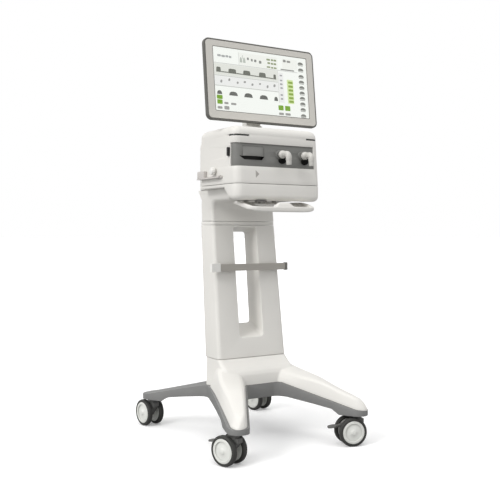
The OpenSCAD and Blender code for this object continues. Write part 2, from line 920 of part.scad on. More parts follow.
module at_fan() { translate([fan_x, box_back - 22, fan_z]) children(); }
module fan_frame() {
    color(dark) at_fan() {
        difference() {
            translate([-30, -8, -30]) cube([60, 20, 60]);
            y_rod(60, 27.5);
        }
        // bearing boss on four spokes
        difference() {
            union() {
                translate([0, -5.5, 0]) y_rod(4, 9);
                for (i = [0:3]) rotate([0, i * 90 + 20, 0]) translate([7, -7, -1.5])
                    cube([21.5, 3, 3]);
            }
            y_rod(40, fan_shaft_r + run);
        }
    }
}
module fan_rotor() {
    color("#303234") at_fan() {
        translate([0, 3, 0]) y_rod(12, 11);
        translate([0, -2, 0]) y_rod(14, fan_shaft_r);
        for (i = [0:6]) rotate([0, i * 360 / 7, 0]) translate([9, -2, -1]) rotate([28, 0, 0])
            cube([17.5, 9, 1.8]);
    }
}

// ---------- monitor ----------
neck_y = -40;
swivel_r = 8;             // pin turning in the neck
tilt_z = 1225;            // height of the tilt axis
tilt_pin_r = 6;
mon_centre = [0, -117.3, 1284.5];
disp_rise = 2.5;          // display centre above the monitor centre

module neck_base() {
    color(white) translate([0, neck_y, unit_top]) difference() {
        union() {
            cylinder(h = 12, r = 42);
            translate([0, 0, -9.8]) cylinder(h = 11, r = 11.9);
        }
        translate([0, 0, -20]) cylinder(h = 60, r = swivel_r + run);
    }
}

module monitor_yoke() {
    color(panel_grey) translate([0, neck_y, 0]) difference() {
        union() {
            translate([0, 0, unit_top + 12.4]) cylinder(h = 12, r = 38);
            translate([0, 0, unit_top - 8]) cylinder(h = 22, r = swivel_r);
            translate([-30, -14, unit_top + 18]) cube([60, 30, 72]);
            // ears that carry the tilt pin
            for (sx = sides) hull() {
                translate([sx * 42, 0, tilt_z]) x_rod(10, 15, $fn = 32);
                translate([sx * 42 - 5, -12, unit_top + 60]) cube([10, 26, 28]);
            }
            translate([-47, -14, unit_top + 60]) cube([94, 30, 24]);
        }
        translate([0, 0, tilt_z]) x_rod(120, tilt_pin_r + run);
        translate([0, 0, 1100]) cylinder(h = 110, r = 5);
    }
}

// monitor frame: origin in the middle of the front face, +Y into the monitor
module at_monitor() { translate(mon_centre) rotate([-mon_lean, 0, 0]) children(); }

// rounded slab parallel to the screen from depth y0 to y1
module slab(width, height, radius, y0, y1) {
    front_sweep(y0, y1) rounded_rect(width, height, radius);
}
// slab smaller than the monitor outline by trim overall
module body_slab(trim, radius, y0, y1) { slab(mon_w - trim, mon_h - trim, radius, y0, y1); }
// slab centred on the display and larger by margin overall
module disp_slab(margin, radius, y0, y1) {
    translate([0, 0, disp_rise]) slab(disp_w + margin, disp_h + margin, radius, y0, y1);
}

module monitor_rim() {
    color("#8c8b86") at_monitor() difference() {
        body_slab(0, 20, 0.8, 16);
        body_slab(11, 14.5, -5, 30);
    }
}
module monitor_bezel() {
    color("#cbc8c1") at_monitor() difference() {
        body_slab(11.4, 14.3, 0, 7);
        disp_slab(0, 3, -5, 3);
        disp_slab(8, 3, 2, 20);
    }
}
module touch_glass() { color([0.9, 0.95, 0.95, 0.5]) at_monitor() disp_slab(7, 2.5, 2.1, 4.1); }
module lcd_panel() { color("#f2f4f2") at_monitor() disp_slab(10, 3, 7.2, 15); }

module monitor_rear() {
    color(panel_grey) {
        at_monitor() difference() {
            union() {
                body_slab(12, 14, 7.1, 24);
                body_slab(60, 24, 20, 38);
            }
            disp_slab(14, 6, -1, 21);
            body_slab(70, 20, 18, 35);
            // row of upright slots near the top
            for (i = [-6:6]) translate([i * 14, 0, 96]) slab(6, 16, 2.5, 30, 45);
        }
        // tilt barrel on the back, standing between the yoke ears
        translate([0, neck_y, tilt_z]) x_rod(73, 15);
        intersection() {
            translate([-36.5, -96, tilt_z - 12]) cube([73, 60, 24]);
            at_monitor() translate([-100, 37, -150]) cube([200, 80, 300]);
        }
        translate([0, neck_y, tilt_z]) x_rod(93, tilt_pin_r);
    }
}

// ---------- casters ----------
// local frame: swivel axis on Z, wheels trail towards +Y, axle along X
wheel_r = wheel_d / 2;
axle_r = 5;
tyre_inner_r = 40;
pedal_pin_r = 3;

// caster places: x, y and rest heading, the trail direction turned from +Y about Z
front_left = [-caster_x, -caster_front, 19];
front_right = [caster_x, -caster_front, 72];
rear_left = [-caster_x, caster_rear, 8];
rear_right = [caster_x, caster_rear, 10];

module at_caster(spot) { translate([spot[0], spot[1], 0]) rotate([0, 0, spot[2]]) children(); }
module at_axle() { translate([0, trail, wheel_r]) children(); }
module at_pedal() { translate([0, trail + 9, 78]) children(); }

module fork(brake) {
    difference() {
        union() {
            // centre body between the wheels, [y, z]
            side_sweep(12) union() {
                translate([trail, wheel_r]) circle(15);
                polygon([[trail - 14.5, wheel_r - 4], [trail + 14.5, wheel_r - 4],
                    [trail + 14, 92], [-21, 92], [-21, 78]]);
            }
            // round head, flange and swivel pin
            translate([0, 0, 86]) cylinder(h = 16, r = 14.5);
            translate([0, 0, 100.6]) cylinder(h = 3.4, r = 22);
            translate([0, 0, 100.6]) cylinder(h = 4.2, r = 15);
            translate([0, 0, 100]) cylinder(h = 23.5, r = 8);
        }
        at_axle() x_rod(60, axle_r);
        // slot and pin bore for the brake pedal
        if (brake) {
            translate([-7.2, trail + 2.5, 66]) cube([14.4, 80, 32]);
            at_pedal() x_rod(30, pedal_pin_r + run);
        }
    }
}

module axle() { at_axle() x_rod(72, axle_r); }

// both wheels of a caster; the part's Z is the distance outwards from the inner face
module wheel_pair() {
    for (flip = [0, 1]) at_axle() mirror([flip, 0, 0])
        translate([15, 0, 0]) rotate([0, 90, 0]) children();
}

module hubs() {
    // half section: radius from the axle, distance outwards from the inner face
    wheel_pair() rotate_extrude() polygon([
        [axle_r + run, 0], [12, 0], [12, 4], [33, 6], [35, 1], [tyre_inner_r, 1],
        [tyre_inner_r, 19], [37, 20.5], [33, 18.5], [31, 16.5], [12, 18.5], [9, 20],
        [axle_r + run, 20]
    ]);
}

module tyres() {
    wheel_pair() rotate_extrude() difference() {
        translate([tyre_inner_r, 0.5]) square([wheel_r - tyre_inner_r, 19.5]);
        // trims the tread to rounded shoulders
        difference() {
            translate([wheel_r - 5, -1]) square([6, 22.5]);
            for (y = [6.5, 14]) translate([wheel_r - 6, y]) circle(6, $fn = 32);
            translate([wheel_r - 8, 6.5]) square([8, 7.5]);
        }
    }
}

// brake pedal: pivot, lever and rounded foot pad
module pedal() {
    at_pedal() {
        x_rod(23, pedal_pin_r);
        x_rod(13.8, 5.5);
        side_sweep(6.9)
            polygon([[0, -5], [30, -11], [47, -16], [47, -9], [30, -3], [0, 5.2]]);
        translate([0, 58, -12.2]) rotate([-8, 0, 0]) linear_extrude(5) rounded_rect(29, 34, 12);
    }
}

module caster_fl_fork() { color(fork_grey) at_caster(front_left) fork(true); }
module caster_fr_fork() { color(fork_grey) at_caster(front_right) fork(true); }
module caster_rl_fork() { color(fork_grey) at_caster(rear_left) fork(false); }
module caster_rr_fork() { color(fork_grey) at_caster(rear_right) fork(false); }
module caster_fl_axle() { color(steel) at_caster(front_left) axle(); }
module caster_fr_axle() { color(steel) at_caster(front_right) axle(); }
module caster_rl_axle() { color(steel) at_caster(rear_left) axle(); }
module caster_rr_axle() { color(steel) at_caster(rear_right) axle(); }
module caster_fl_hubs() { color(hub_white) at_caster(front_left) hubs(); }
module caster_fr_hubs() { color(hub_white) at_caster(front_right) hubs(); }
module caster_rl_hubs() { color(hub_white) at_caster(rear_left) hubs(); }
module caster_rr_hubs() { color(hub_white) at_caster(rear_right) hubs(); }
module caster_fl_tyres() { color(tyre_black) at_caster(front_left) tyres(); }
module caster_fr_tyres() { color(tyre_black) at_caster(front_right) tyres(); }
module caster_rl_tyres() { color(tyre_black) at_caster(rear_left) tyres(); }
module caster_rr_tyres() { color(tyre_black) at_caster(rear_right) tyres(); }
module caster_fl_pedal() { color(pedal_grey) at_caster(front_left) pedal(); }
module caster_fr_pedal() { color(pedal_grey) at_caster(front_right) pedal(); }

base_frame();
caster_sockets();
base_cover();
column_spine();
column_shell();
column_back();
column_head();
push_handle();
rail_bar();
rail_standoffs();
rail_cap_left();
rail_cap_right();
base_screws();
unit_tray();
unit_housing();
port_panel();
access_hatch();
sensor_cassette();
exp_elbow();
insp_elbow();
alarm_lights();
rear_panel();
side_bracket();
side_knob();
side_latch();
gas_inlets();
power_inlet();
power_switch();
mainboard();
power_supply();
battery_packs();
blower_housing();
blower_impeller();
fan_frame();
fan_rotor();
neck_base();
monitor_yoke();
monitor_rear();
monitor_bezel();
monitor_rim();
touch_glass();
lcd_panel();
caster_fl_fork();
caster_fl_axle();
caster_fl_hubs();
caster_fl_tyres();
caster_fl_pedal();
caster_fr_fork();
caster_fr_axle();
caster_fr_hubs();
caster_fr_tyres();
caster_fr_pedal();
caster_rl_fork();
caster_rl_axle();
caster_rl_hubs();
caster_rl_tyres();
caster_rr_fork();
caster_rr_axle();
caster_rr_hubs();
caster_rr_tyres();
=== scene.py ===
# A ventilator on a wheeled stand. Four splayed legs on casters carry a leaning column, the
# ventilator unit sits on the column and a tilted touch screen stands above the unit.
# Axes: x runs to the right as seen from the front, y to the rear, z up from the floor.
# Lengths are in millimetres and become metres where a mesh is made. Angles are in degrees.
import bpy, bmesh, json, math, random
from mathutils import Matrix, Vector


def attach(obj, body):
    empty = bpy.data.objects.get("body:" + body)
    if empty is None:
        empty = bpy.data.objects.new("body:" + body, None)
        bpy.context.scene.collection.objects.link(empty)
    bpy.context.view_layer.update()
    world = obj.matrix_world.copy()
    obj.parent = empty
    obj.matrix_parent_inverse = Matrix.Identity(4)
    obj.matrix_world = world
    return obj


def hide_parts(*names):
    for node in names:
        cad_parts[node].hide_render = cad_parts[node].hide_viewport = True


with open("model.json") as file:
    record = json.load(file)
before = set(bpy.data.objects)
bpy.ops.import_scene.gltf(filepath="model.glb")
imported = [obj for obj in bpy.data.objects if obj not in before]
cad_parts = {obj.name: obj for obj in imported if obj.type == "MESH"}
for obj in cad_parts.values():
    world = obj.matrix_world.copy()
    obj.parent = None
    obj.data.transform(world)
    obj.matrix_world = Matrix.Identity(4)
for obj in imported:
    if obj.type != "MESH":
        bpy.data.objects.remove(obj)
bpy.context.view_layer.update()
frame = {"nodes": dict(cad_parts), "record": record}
random.seed(7)
MM = 0.001
NODES = frame["nodes"]
scene = bpy.context.scene
replaced_nodes = set()


# ------------------------------------------------------------------ materials
def srgb(red, green, blue):
    """Linear RGBA of an 8-bit sRGB colour."""
    def linear(channel):
        channel /= 255.0
        return channel / 12.92 if channel <= 0.04045 else ((channel + 0.055) / 1.055) ** 2.4
    return (linear(red), linear(green), linear(blue), 1.0)


class Nodes:
    """Adds shader nodes to a tree and hands back their output sockets."""

    def __init__(self, tree):
        self.tree = tree

    def node(self, kind, inputs=None, out=0, **settings):
        """inputs maps each socket to a value or to the output that feeds it."""
        made = self.tree.nodes.new("ShaderNode" + kind)
        for key, value in settings.items():
            setattr(made, key, value)
        for key, value in (inputs or {}).items():
            if isinstance(value, bpy.types.NodeSocket):
                self.tree.links.new(value, made.inputs[key])
            else:
                made.inputs[key].default_value = value
        return made.outputs[out]

    def remap(self, value, low, high, start=0.0, end=1.0):
        """Maps start..end to low..high."""
        return self.node("MapRange", {"Value": value, "From Min": start, "From Max": end,
                                      "To Min": low, "To Max": high})

    def scaled(self, colour, factor):
        return self.node("VectorMath", {0: colour, "Scale": factor}, operation="SCALE")

    def surface(self, shader):
        output = self.tree.nodes.new("ShaderNodeOutputMaterial")
        self.tree.links.new(shader, output.inputs["Surface"])


def new_material(name):
    material = bpy.data.materials.new(name)
    material.use_nodes = True
    material.node_tree.nodes.clear()
    return material, Nodes(material.node_tree)


def moulded(name, colour, rough=0.42, rough_var=0.06, grain=1400.0, depth=0.00004, mottle=0.025,
            spec=0.45, wear_and_highlight=0.0, round_mm=0.7, coat=0.0, hollow_shade=0.0, sheen=0.0):
    """Moulded or painted surface with fine grain, slow colour drift and softened edges.

    grain and depth (metres) shape the bump, mottle is the colour drift, wear_and_highlight
    lightens edges (edge wear with a painted highlight) and hollow_shade paints shade into
    hollows.
    """
    material, t = new_material(name)
    place_in_object = t.node("TexCoord", out="Object")

    def noise(scale, **more):
        inputs = {"Vector": place_in_object, "Scale": scale, **more}
        return t.node("TexNoise", inputs)

    slow = noise(9.0, Detail=4.0, Roughness=0.55)
    middle = noise(120.0, Detail=5.0, Roughness=0.6)
    cells = t.node("TexVoronoi", {"Vector": place_in_object, "Scale": grain})
    fine = noise(grain * 1.7, Detail=2.0)

    drift = t.remap(slow, 1.0 - mottle, 1.0 + mottle * 0.4, start=0.3, end=0.7)
    speckle = t.remap(middle, 1.0 - mottle * 0.5, 1.0 + mottle * 0.2, start=0.25, end=0.75)
    factor = t.node("Math", {0: drift, 1: speckle}, operation="MULTIPLY")
    tint = t.scaled(srgb(*colour)[:3], factor)
    soft_normal = t.node("Bevel", {"Radius": round_mm * MM}, samples=4)
    # Edges lightened towards light grey: edge wear together with a painted highlight.
    if wear_and_highlight > 0:
        true_normal = t.node("NewGeometry", out="True Normal")
        facing = t.node("VectorMath", {0: soft_normal, 1: true_normal}, out="Value",
                        operation="DOT_PRODUCT")
        at_edge = t.remap(facing, 0.0, wear_and_highlight, start=0.995, end=0.86)
        edge_wear_and_highlight = t.node("Math", {0: at_edge, 1: middle}, operation="MULTIPLY")
        tint = t.node("Mix", {0: edge_wear_and_highlight, 6: tint, 7: (0.75, 0.75, 0.74, 1)}, out=2,
                      data_type="RGBA")
    # Base colour darkened where ambient occlusion finds a hollow within 2 cm: painted shade.
    if hollow_shade > 0:
        open_sky = t.node("AmbientOcclusion", {"Distance": 0.02}, out="AO", samples=4)
        tint = t.scaled(tint, t.remap(open_sky, 1.0 - hollow_shade, 1.0, start=0.2, end=0.9))
    roughness = t.remap(middle, rough - rough_var, rough + rough_var, start=0.3, end=0.7)
    height = t.node("Math", {0: cells, 1: fine}, operation="ADD")
    bump = t.node("Bump", {"Strength": 0.35, "Distance": depth, "Height": height,
                           "Normal": soft_normal})
    t.surface(t.node("BsdfPrincipled", {
        "Base Color": tint, "Roughness": roughness, "Specular IOR Level": spec,
        "Coat Weight": coat, "Coat Roughness": 0.12, "Sheen Weight": sheen, "Normal": bump}))
    return material


def brushed(name, colour, rough=0.28, axis=0, metallic=1.0):
    """Metal with fine streaks along one axis (0, 1 or 2)."""
    streak = 600.0
    stretch = [streak] * 3
    stretch[axis] = streak / 60.0
    material, t = new_material(name)
    place_in_object = t.node("TexCoord", out="Object")
    stretched = t.node("Mapping", {"Scale": stretch, "Vector": place_in_object})
    streaks = t.node("TexNoise", {"Vector": stretched, "Scale": 1.0, "Detail": 6.0,
                                  "Roughness": 0.7})
    roughness = t.remap(streaks, rough - 0.08, rough + 0.1, start=0.3, end=0.7)
    shade = t.remap(streaks, 0.88, 1.05, start=0.3, end=0.7)
    tint = t.scaled(srgb(*colour)[:3], shade)
    soft_normal = t.node("Bevel", {"Radius": 0.5 * MM}, samples=4)
    bump = t.node("Bump", {"Strength": 0.15, "Distance": 0.00003, "Height": streaks,
                           "Normal": soft_normal})
    t.surface(t.node("BsdfPrincipled", {"Base Color": tint, "Roughness": roughness,
                                        "Metallic": metallic, "Normal": bump}))
    return material


def lit(name, colour):
    """A patch of the lit display, with faint rows across it."""
    material, t = new_material(name)
    place_in_object = t.node("TexCoord", out="Object")
    rows = t.node("TexWave", {"Vector": place_in_object, "Scale": 900.0, "Distortion": 0.0},
                  out="Fac", bands_direction="Z")
    t.surface(t.node("BsdfPrincipled", {
        "Base Color": (0.02, 0.02, 0.02, 1), "Roughness": 0.35, "Specular IOR Level": 0.1,
        "Emission Color": srgb(*colour), "Emission Strength": t.remap(rows, 0.985, 1.0)}))
    return material


def clear_glass(name):
    """Nearly clear cover with a soft, slightly uneven reflection."""
    material, t = new_material(name)
    through = t.node("BsdfTransparent", {"Color": (0.985, 0.99, 0.985, 1)})
    fresnel = t.node("Fresnel", {"IOR": 1.35})
    place_in_object = t.node("TexCoord", out="Object")
    smears = t.node("TexNoise", {"Vector": place_in_object, "Scale": 6.0, "Detail": 3.0})
    gloss = t.node("BsdfGlossy", {"Roughness": t.remap(smears, 0.13, 0.2)})
    share = t.node("Math", {0: fresnel, 1: 0.6}, operation="MULTIPLY")
    t.surface(t.node("MixShader", {0: share, 1: through, 2: gloss}))
    return material


# In these materials the hollow darkening is painted shade, and the edge lightening is edge wear
# with a painted highlight.
WHITE = moulded("white_shell", (232, 230, 225), rough=0.46, mottle=0.012, spec=0.4,
                round_mm=1.0, hollow_shade=0.10)
PANEL = moulded("light_grey_shell", (206, 202, 196), rough=0.5, mottle=0.015, spec=0.4,
                round_mm=1.0, hollow_shade=0.10)
GREY = moulded("grey_powder_coat", (132, 132, 131), rough=0.5, grain=900.0, depth=0.00008,
               mottle=0.05, wear_and_highlight=0.25, round_mm=1.2, hollow_shade=0.15)
BAND = moulded("band_grey", (126, 126, 123), rough=0.52, grain=1500.0, mottle=0.03, spec=0.35,
               round_mm=0.6, hollow_shade=0.06)
BLACK = moulded("black_plastic", (26, 26, 25), rough=0.45, mottle=0.08, spec=0.4, round_mm=0.5)
ELBOW = moulded("elbow_plastic", (206, 204, 199), rough=0.38, mottle=0.02, spec=0.5,
                round_mm=0.5, hollow_shade=0.15)
KNOB = moulded("white_knob", (240, 239, 235), rough=0.34, mottle=0.01, spec=0.5, round_mm=0.6)
MODULE = moulded("module_grey", (158, 156, 152), rough=0.48, mottle=0.03, round_mm=0.8,
                 hollow_shade=0.15)
FORK = moulded("fork_nylon", (108, 108, 106), rough=0.5, grain=1100.0, depth=0.00006,
               mottle=0.06, round_mm=1.0, wear_and_highlight=0.12, hollow_shade=0.25)
HUB = moulded("hub_white", (232, 233, 228), rough=0.36, mottle=0.015, spec=0.5, round_mm=0.8,
              hollow_shade=0.15)
TYRE = moulded("tyre_rubber", (62, 62, 60), rough=0.62, grain=2600.0, depth=0.00005,
               mottle=0.12, spec=0.3, round_mm=1.0, sheen=0.1, rough_var=0.1)
moulded("tyre_tread", (48, 48, 46), rough=0.75, grain=1500.0, depth=0.00012, mottle=0.2,
        spec=0.25, round_mm=0.8, rough_var=0.12)
BEZEL = moulded("bezel_light", (218, 215, 208), rough=0.36, mottle=0.008, round_mm=0.6)
RIM = moulded("rim_rubber", (106, 105, 101), rough=0.55, mottle=0.03, spec=0.35, round_mm=1.2)
BOARD = moulded("board_green", (46, 104, 60), rough=0.3, mottle=0.1, round_mm=0.2)
CELL = moulded("battery_film", (52, 60, 72), rough=0.28, mottle=0.06, round_mm=0.8, coat=0.3)
IMPELLER = moulded("impeller_white", (214, 214, 212), rough=0.4, round_mm=0.4)
REAR = moulded("rear_paint", (150, 151, 151), rough=0.42, grain=800.0, depth=0.00006,
               mottle=0.04, round_mm=0.4, wear_and_highlight=0.2, hollow_shade=0.2)
SMOKE = moulded("signal_smoke", (24, 24, 22), rough=0.12, mottle=0.02, spec=0.6, round_mm=0.3,
                coat=0.6)
STEEL = brushed("turned_steel", (190, 190, 192), axis=2)
RAIL = brushed("rail_anodised", (191, 187, 180), rough=0.4, axis=0, metallic=0.75)
BRASS = brushed("brass_machined", (200, 170, 110), axis=1)
DARK_CAP = moulded("cap_dark", (124, 123, 119), rough=0.5, mottle=0.03, round_mm=0.8)
GLASS = clear_glass("screen_cover_glass")
LCD = lit("lcd_white", (250, 252, 248))
BRACKET = moulded("bracket_grey", (206, 202, 198), rough=0.45, mottle=0.02, round_mm=0.8,
                  hollow_shade=0.15)
CASSETTE = moulded("cassette_dark", (44, 44, 43), rough=0.5, mottle=0.05, round_mm=0.6,
                   hollow_shade=0.3)
MARK = moulded("mark_grey", (176, 172, 167), rough=0.5, mottle=0.02, round_mm=0.4)
CATCH = moulded("catch_grey", (108, 106, 103), rough=0.5, mottle=0.04, round_mm=0.6)
# Near-black material that stands in for shade: the walls behind the finger slot and the levers
# under the ports.
SHADE_BLACK = moulded("painted_shade_black", (14, 14, 14), rough=0.7, mottle=0.05, spec=0.12, round_mm=0.5)

SLOT_MATERIALS = {
    "frame_grey": GREY, "socket_steel": STEEL, "white_shell": WHITE, "panel_grey_light": PANEL,
    "rail_alu": RAIL, "cap_white": KNOB, "cap_dark": DARK_CAP, "band_grey": BAND,
    "elbow_grey": ELBOW, "module_grey": MODULE, "signal_black": SMOKE, "rear_metal": REAR,
    "black_plastic": BLACK, "brass_fitting": BRASS, "pcb_green": BOARD, "battery_case": CELL,
    "impeller_white": IMPELLER, "bezel_light": BEZEL, "rim_grey": RIM, "screen_glass": GLASS,
    "fork_grey": FORK, "hub_white": HUB, "tyre_dark": TYRE, "screen_lit": LCD,
}
# CAD pieces whose material differs from that of their slot
NODE_MATERIALS = {
    "monitor_yoke": KNOB, "neck_base": KNOB, "side_bracket": BRACKET,
    "sensor_cassette": CASSETTE, "rail_cap_left": KNOB, "rail_cap_right": DARK_CAP,
}


def paint(node, material):
    node.data.materials.clear()
    node.data.materials.append(material)


def paint_cad_pieces():
    for row in frame["record"]["subparts"]:
        node = NODES[row["node"]]
        paint(node, SLOT_MATERIALS[row["material_slot"]])
        for face in node.data.polygons:
            face.material_index = 0
    for name, material in NODE_MATERIALS.items():
        paint(NODES[name], material)


# ------------------------------------------------------------------ mesh helpers
def new_object(name, verts, faces, material=None, weld=True):
    mesh = bpy.data.meshes.new(name)
    mesh.from_pydata([(x * MM, y * MM, z * MM) for x, y, z in verts], [], faces)
    mesh.update()
    piece = bpy.data.objects.new(name, mesh)
    scene.collection.objects.link(piece)
    if material is not None:
        mesh.materials.append(material)
    bm = bmesh.new()
    bm.from_mesh(mesh)
    if weld:
        bmesh.ops.remove_doubles(bm, verts=bm.verts, dist=1e-7)
    bmesh.ops.recalc_face_normals(bm, faces=bm.faces)
    bm.to_mesh(mesh)
    bm.free()
    return piece


def bake(piece):
    """Applies every modifier on the piece to its mesh."""
    bpy.context.view_layer.update()
    graph = bpy.context.evaluated_depsgraph_get()
    mesh = bpy.data.meshes.new_from_object(
        piece.evaluated_get(graph), preserve_all_data_layers=True, depsgraph=graph)
    piece.modifiers.clear()
    old = piece.data
    piece.data = mesh
    mesh.name = piece.name
    if old.users == 0:
        bpy.data.meshes.remove(old)


def boolean(piece, tool, operation="DIFFERENCE"):
    """Cuts the tool from the piece, or joins or intersects them; the tool is used up."""
    modifier = piece.modifiers.new("b", "BOOLEAN")
    modifier.operation = operation
    modifier.solver = "EXACT"
    modifier.object = tool
    bake(piece)
    bpy.data.objects.remove(tool)


def bevel(piece, width, segments=3, angle=35.0):
    modifier = piece.modifiers.new("v", "BEVEL")
    modifier.width = width * MM
    modifier.segments = segments
    modifier.limit_method = "ANGLE"
    modifier.angle_limit = math.radians(angle)
    modifier.use_clamp_overlap = True
    modifier.miter_outer = "MITER_ARC"
    bake(piece)


def remesh_smooth(piece, voxel, iterations, factor):
    """Melts joined solids into one soft skin."""
    modifier = piece.modifiers.new("r", "REMESH")
    modifier.mode = "VOXEL"
    modifier.voxel_size = voxel * MM
    bake(piece)
    modifier = piece.modifiers.new("s", "SMOOTH")
    modifier.factor = factor
    modifier.iterations = iterations
    bake(piece)


def arc(cx, cy, radius, start, end, steps):
    points = []
    for i in range(steps + 1):
        angle = math.radians(start + (end - start) * i / steps)
        points.append((cx + radius * math.cos(angle), cy + radius * math.sin(angle)))
    return points


def rounded_rect(x0, x1, y0, y1, radius, steps=8):
    """Anticlockwise outline; radius is one value or four, from corner (x0, y0) onwards."""
    if not isinstance(radius, (list, tuple)):
        radius = [radius] * 4
    a, b, c, d = [max(0.01, min(r, (x1 - x0) / 2 - 0.01, (y1 - y0) / 2 - 0.01)) for r in radius]
    return (arc(x0 + a, y0 + a, a, 180, 270, steps) + arc(x1 - b, y0 + b, b, 270, 360, steps)
            + arc(x1 - c, y1 - c, c, 0, 90, steps) + arc(x0 + d, y1 - d, d, 90, 180, steps))


def level(outline, z):
    """Lays a plan outline at height z."""
    return [(x, y, z) for x, y in outline]


def loft(name, rings, material=None, close=False):
    """Solid through rings of equal length; close joins last to first instead of capping."""
    n = len(rings[0])
    faces = []
    for i in range(len(rings) if close else len(rings) - 1):
        here, after = i * n, ((i + 1) % len(rings)) * n
        for j in range(n):
            k = (j + 1) % n
            faces.append((here + j, here + k, after + k, after + j))
    if not close:
        faces.append(tuple(range(n))[::-1])
        faces.append(tuple((len(rings) - 1) * n + j for j in range(n)))
    return new_object(name, [v for ring in rings for v in ring], faces, material)


def prism(name, outline, low, high, axis, material=None):
    """The outline is (y, z) across axis x, (x, z) across y and (x, y) across z."""
    def point(a, b, height):
        return {"x": (height, a, b), "y": (a, height, b), "z": (a, b, height)}[axis]
    return loft(name, [[point(a, b, h) for a, b in outline] for h in (low, high)], material)


def block(name, x0, x1, y0, y1, z0, z1, material=None):
    return prism(name, [(x0, y0), (x1, y0), (x1, y1), (x0, y1)], z0, z1, "z", material)


def lathe(name, profile, origin, axis, steps, material=None):
    """Closed profile of (radius, distance along the axis) turned about a line."""
    axis = Vector(axis).normalized()
    side = axis.orthogonal().normalized()
    other = axis.cross(side)
    origin = Vector(origin)
    rings = []
    for i in range(steps):
        angle = 2 * math.pi * i / steps
        out = side * math.cos(angle) + other * math.sin(angle)
        rings.append([tuple(origin + out * r + axis * h) for r, h in profile])
    return loft(name, rings, material, close=True)


def sweep(name, path, section, material):
    """Solid along a path; section(i) gives the (side, up) outline at path point i."""
    points = [Vector(p) for p in path]
    last = len(points) - 1
    rings = []
    for i, point in enumerate(points):
        ahead = (points[min(last, i + 1)] - points[max(0, i - 1)]).normalized()
        side = ahead.cross(Vector((0, 0, 1))).normalized()
        up = side.cross(ahead).normalized()
        rings.append([tuple(point + side * a + up * b) for a, b in section(i)])
    return loft(name, rings, material)


def interpolate(x, table):
    """Straight-line reading of (x, value) rows, held constant past both ends."""
    if x <= table[0][0]:
        return table[0][1]
    for (a, value_a), (b, value_b) in zip(table, table[1:]):
        if x <= b:
            return value_a + (value_b - value_a) * (x - a) / (b - a)
    return table[-1][1]


def place(piece, body, replaces=None, sharp=30):
    for face in piece.data.polygons:
        face.use_smooth = True
    piece.data.set_sharp_from_angle(angle=math.radians(sharp))
    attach(piece, body)
    if replaces:
        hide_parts(replaces)
        replaced_nodes.add(replaces)


# ------------------------------------------------------------------ column
COLUMN_FOOT, COLUMN_TOP = 290, 819
COLUMN_RISE = COLUMN_TOP - COLUMN_FOOT
HEAD_FOOT, HEAD_SHELF, HEAD_TOP = 789.6, 862, 904.4
HEAD_REAR = 103


def column_front(z):
    return -52 + (z - COLUMN_FOOT) * 66.4 / COLUMN_RISE


def column_back(z):
    return 47.6 + (z - COLUMN_FOOT) * 55.4 / COLUMN_RISE


def column_half_width(z):
    return 145 - (z - COLUMN_FOOT) * 9 / COLUMN_RISE


def column_ring(z, front, back, radii, steps=8):
    half = column_half_width(z)
    return level(rounded_rect(-half, half, front, back, radii, steps), z)


def column_window(grow=0.0):
    """Tool for the opening through the column; its sill and head slope from front to back."""
    rings = []
    for y in (-140, 160):
        sill = 362 + (y + 43) * 46 / 113 - grow
        head = 769 - (y - 10) * 19 / 88 + grow
        outline = rounded_rect(-51 - grow, 51 + grow, sill, head, 11, 6)
        rings.append([(x, y, z) for x, z in outline])
    return loft("cutter", rings)


def column_shell():
    rings = [column_ring(z, column_front(z), column_back(z) - 4.2, [15, 15, 2, 2])
             for z in (290.0, 420, 600, 775.0)]
    body = loft("column_skin", rings, WHITE)
    boolean(body, column_window())
    bevel(body, 2.6, 4, 50)
    place(body, "root", "column_shell", sharp=35)


def column_back_panel():
    half = 0.6  # side step of the panel behind the shell
    rings = []
    for z in (291.0, 774.0):
        width = column_half_width(z) - half
        back = column_back(z)
        outline = rounded_rect(-width, width, back - 3.9, back, [0.4, 0.4, 3.4, 3.4], 5)
        rings.append(level(outline, z))
    panel = loft("column_back_skin", rings, PANEL)
    boolean(panel, column_window(0.6))
    bevel(panel, 0.9, 2, 50)
    place(panel, "root", "column_back", sharp=35)


def column_collar():
    rings = [column_ring(z, column_front(z), column_back(z), [15, 15, 5, 5])
             for z in (775.9, 788.7)]
    collar = loft("column_collar_skin", rings, WHITE)
    bevel(collar, 0.9, 2, 50)
    place(collar, "root", sharp=35)


def head_half_width(z):
    if z < COLUMN_TOP:
        return column_half_width(z)
    if z < HEAD_SHELF:
        return 136 + (z - COLUMN_TOP) * 4 / 43
    return 140 + (z - HEAD_SHELF) * 6 / 43


def head_edge_weight(p, q):
    """Share of the full bevel width for the edge from p to q."""
    both_at_top = p.z > 904 and q.z > 904
    if abs(p.x - q.x) > 1:
        if both_at_top:
            return 0.16
        return 0.6 if abs(p.z - HEAD_SHELF) < 1 and p.y < -100 else 0.0
    if both_at_top:
        return 0.16
    return 0.10 if p.z < 790 and q.z < 790 else 1.0


def column_head():
    """Head that reaches forward under the unit; its profile is (y, z)."""
    profile = [(column_front(HEAD_FOOT), HEAD_FOOT), (column_front(832), 832)]
    profile += arc(15.6 - 30, 832, 30, 6, 90, 12)
    profile += [(-111, HEAD_SHELF), (-149.6, HEAD_TOP), (HEAD_REAR, HEAD_TOP),
                (HEAD_REAR, COLUMN_TOP), (column_back(HEAD_FOOT), HEAD_FOOT)]
    head = prism("column_head_skin", profile, -1.0, 1.0, "x", WHITE)
    mesh = head.data
    for v in mesh.vertices:
        v.co.x = math.copysign(head_half_width(v.co.z / MM) * MM, v.co.x)
    weights = mesh.attributes.new("bevel_weight_edge", "FLOAT", "EDGE")
    for edge in mesh.edges:
        ends = [mesh.vertices[i].co / MM for i in edge.vertices]
        weights.data[edge.index].value = head_edge_weight(*ends)
    modifier = head.modifiers.new("v", "BEVEL")
    modifier.width = 13 * MM
    modifier.segments = 5
    modifier.limit_method = "WEIGHT"
    modifier.use_clamp_overlap = True
    bake(head)
    place(head, "root", "column_head")


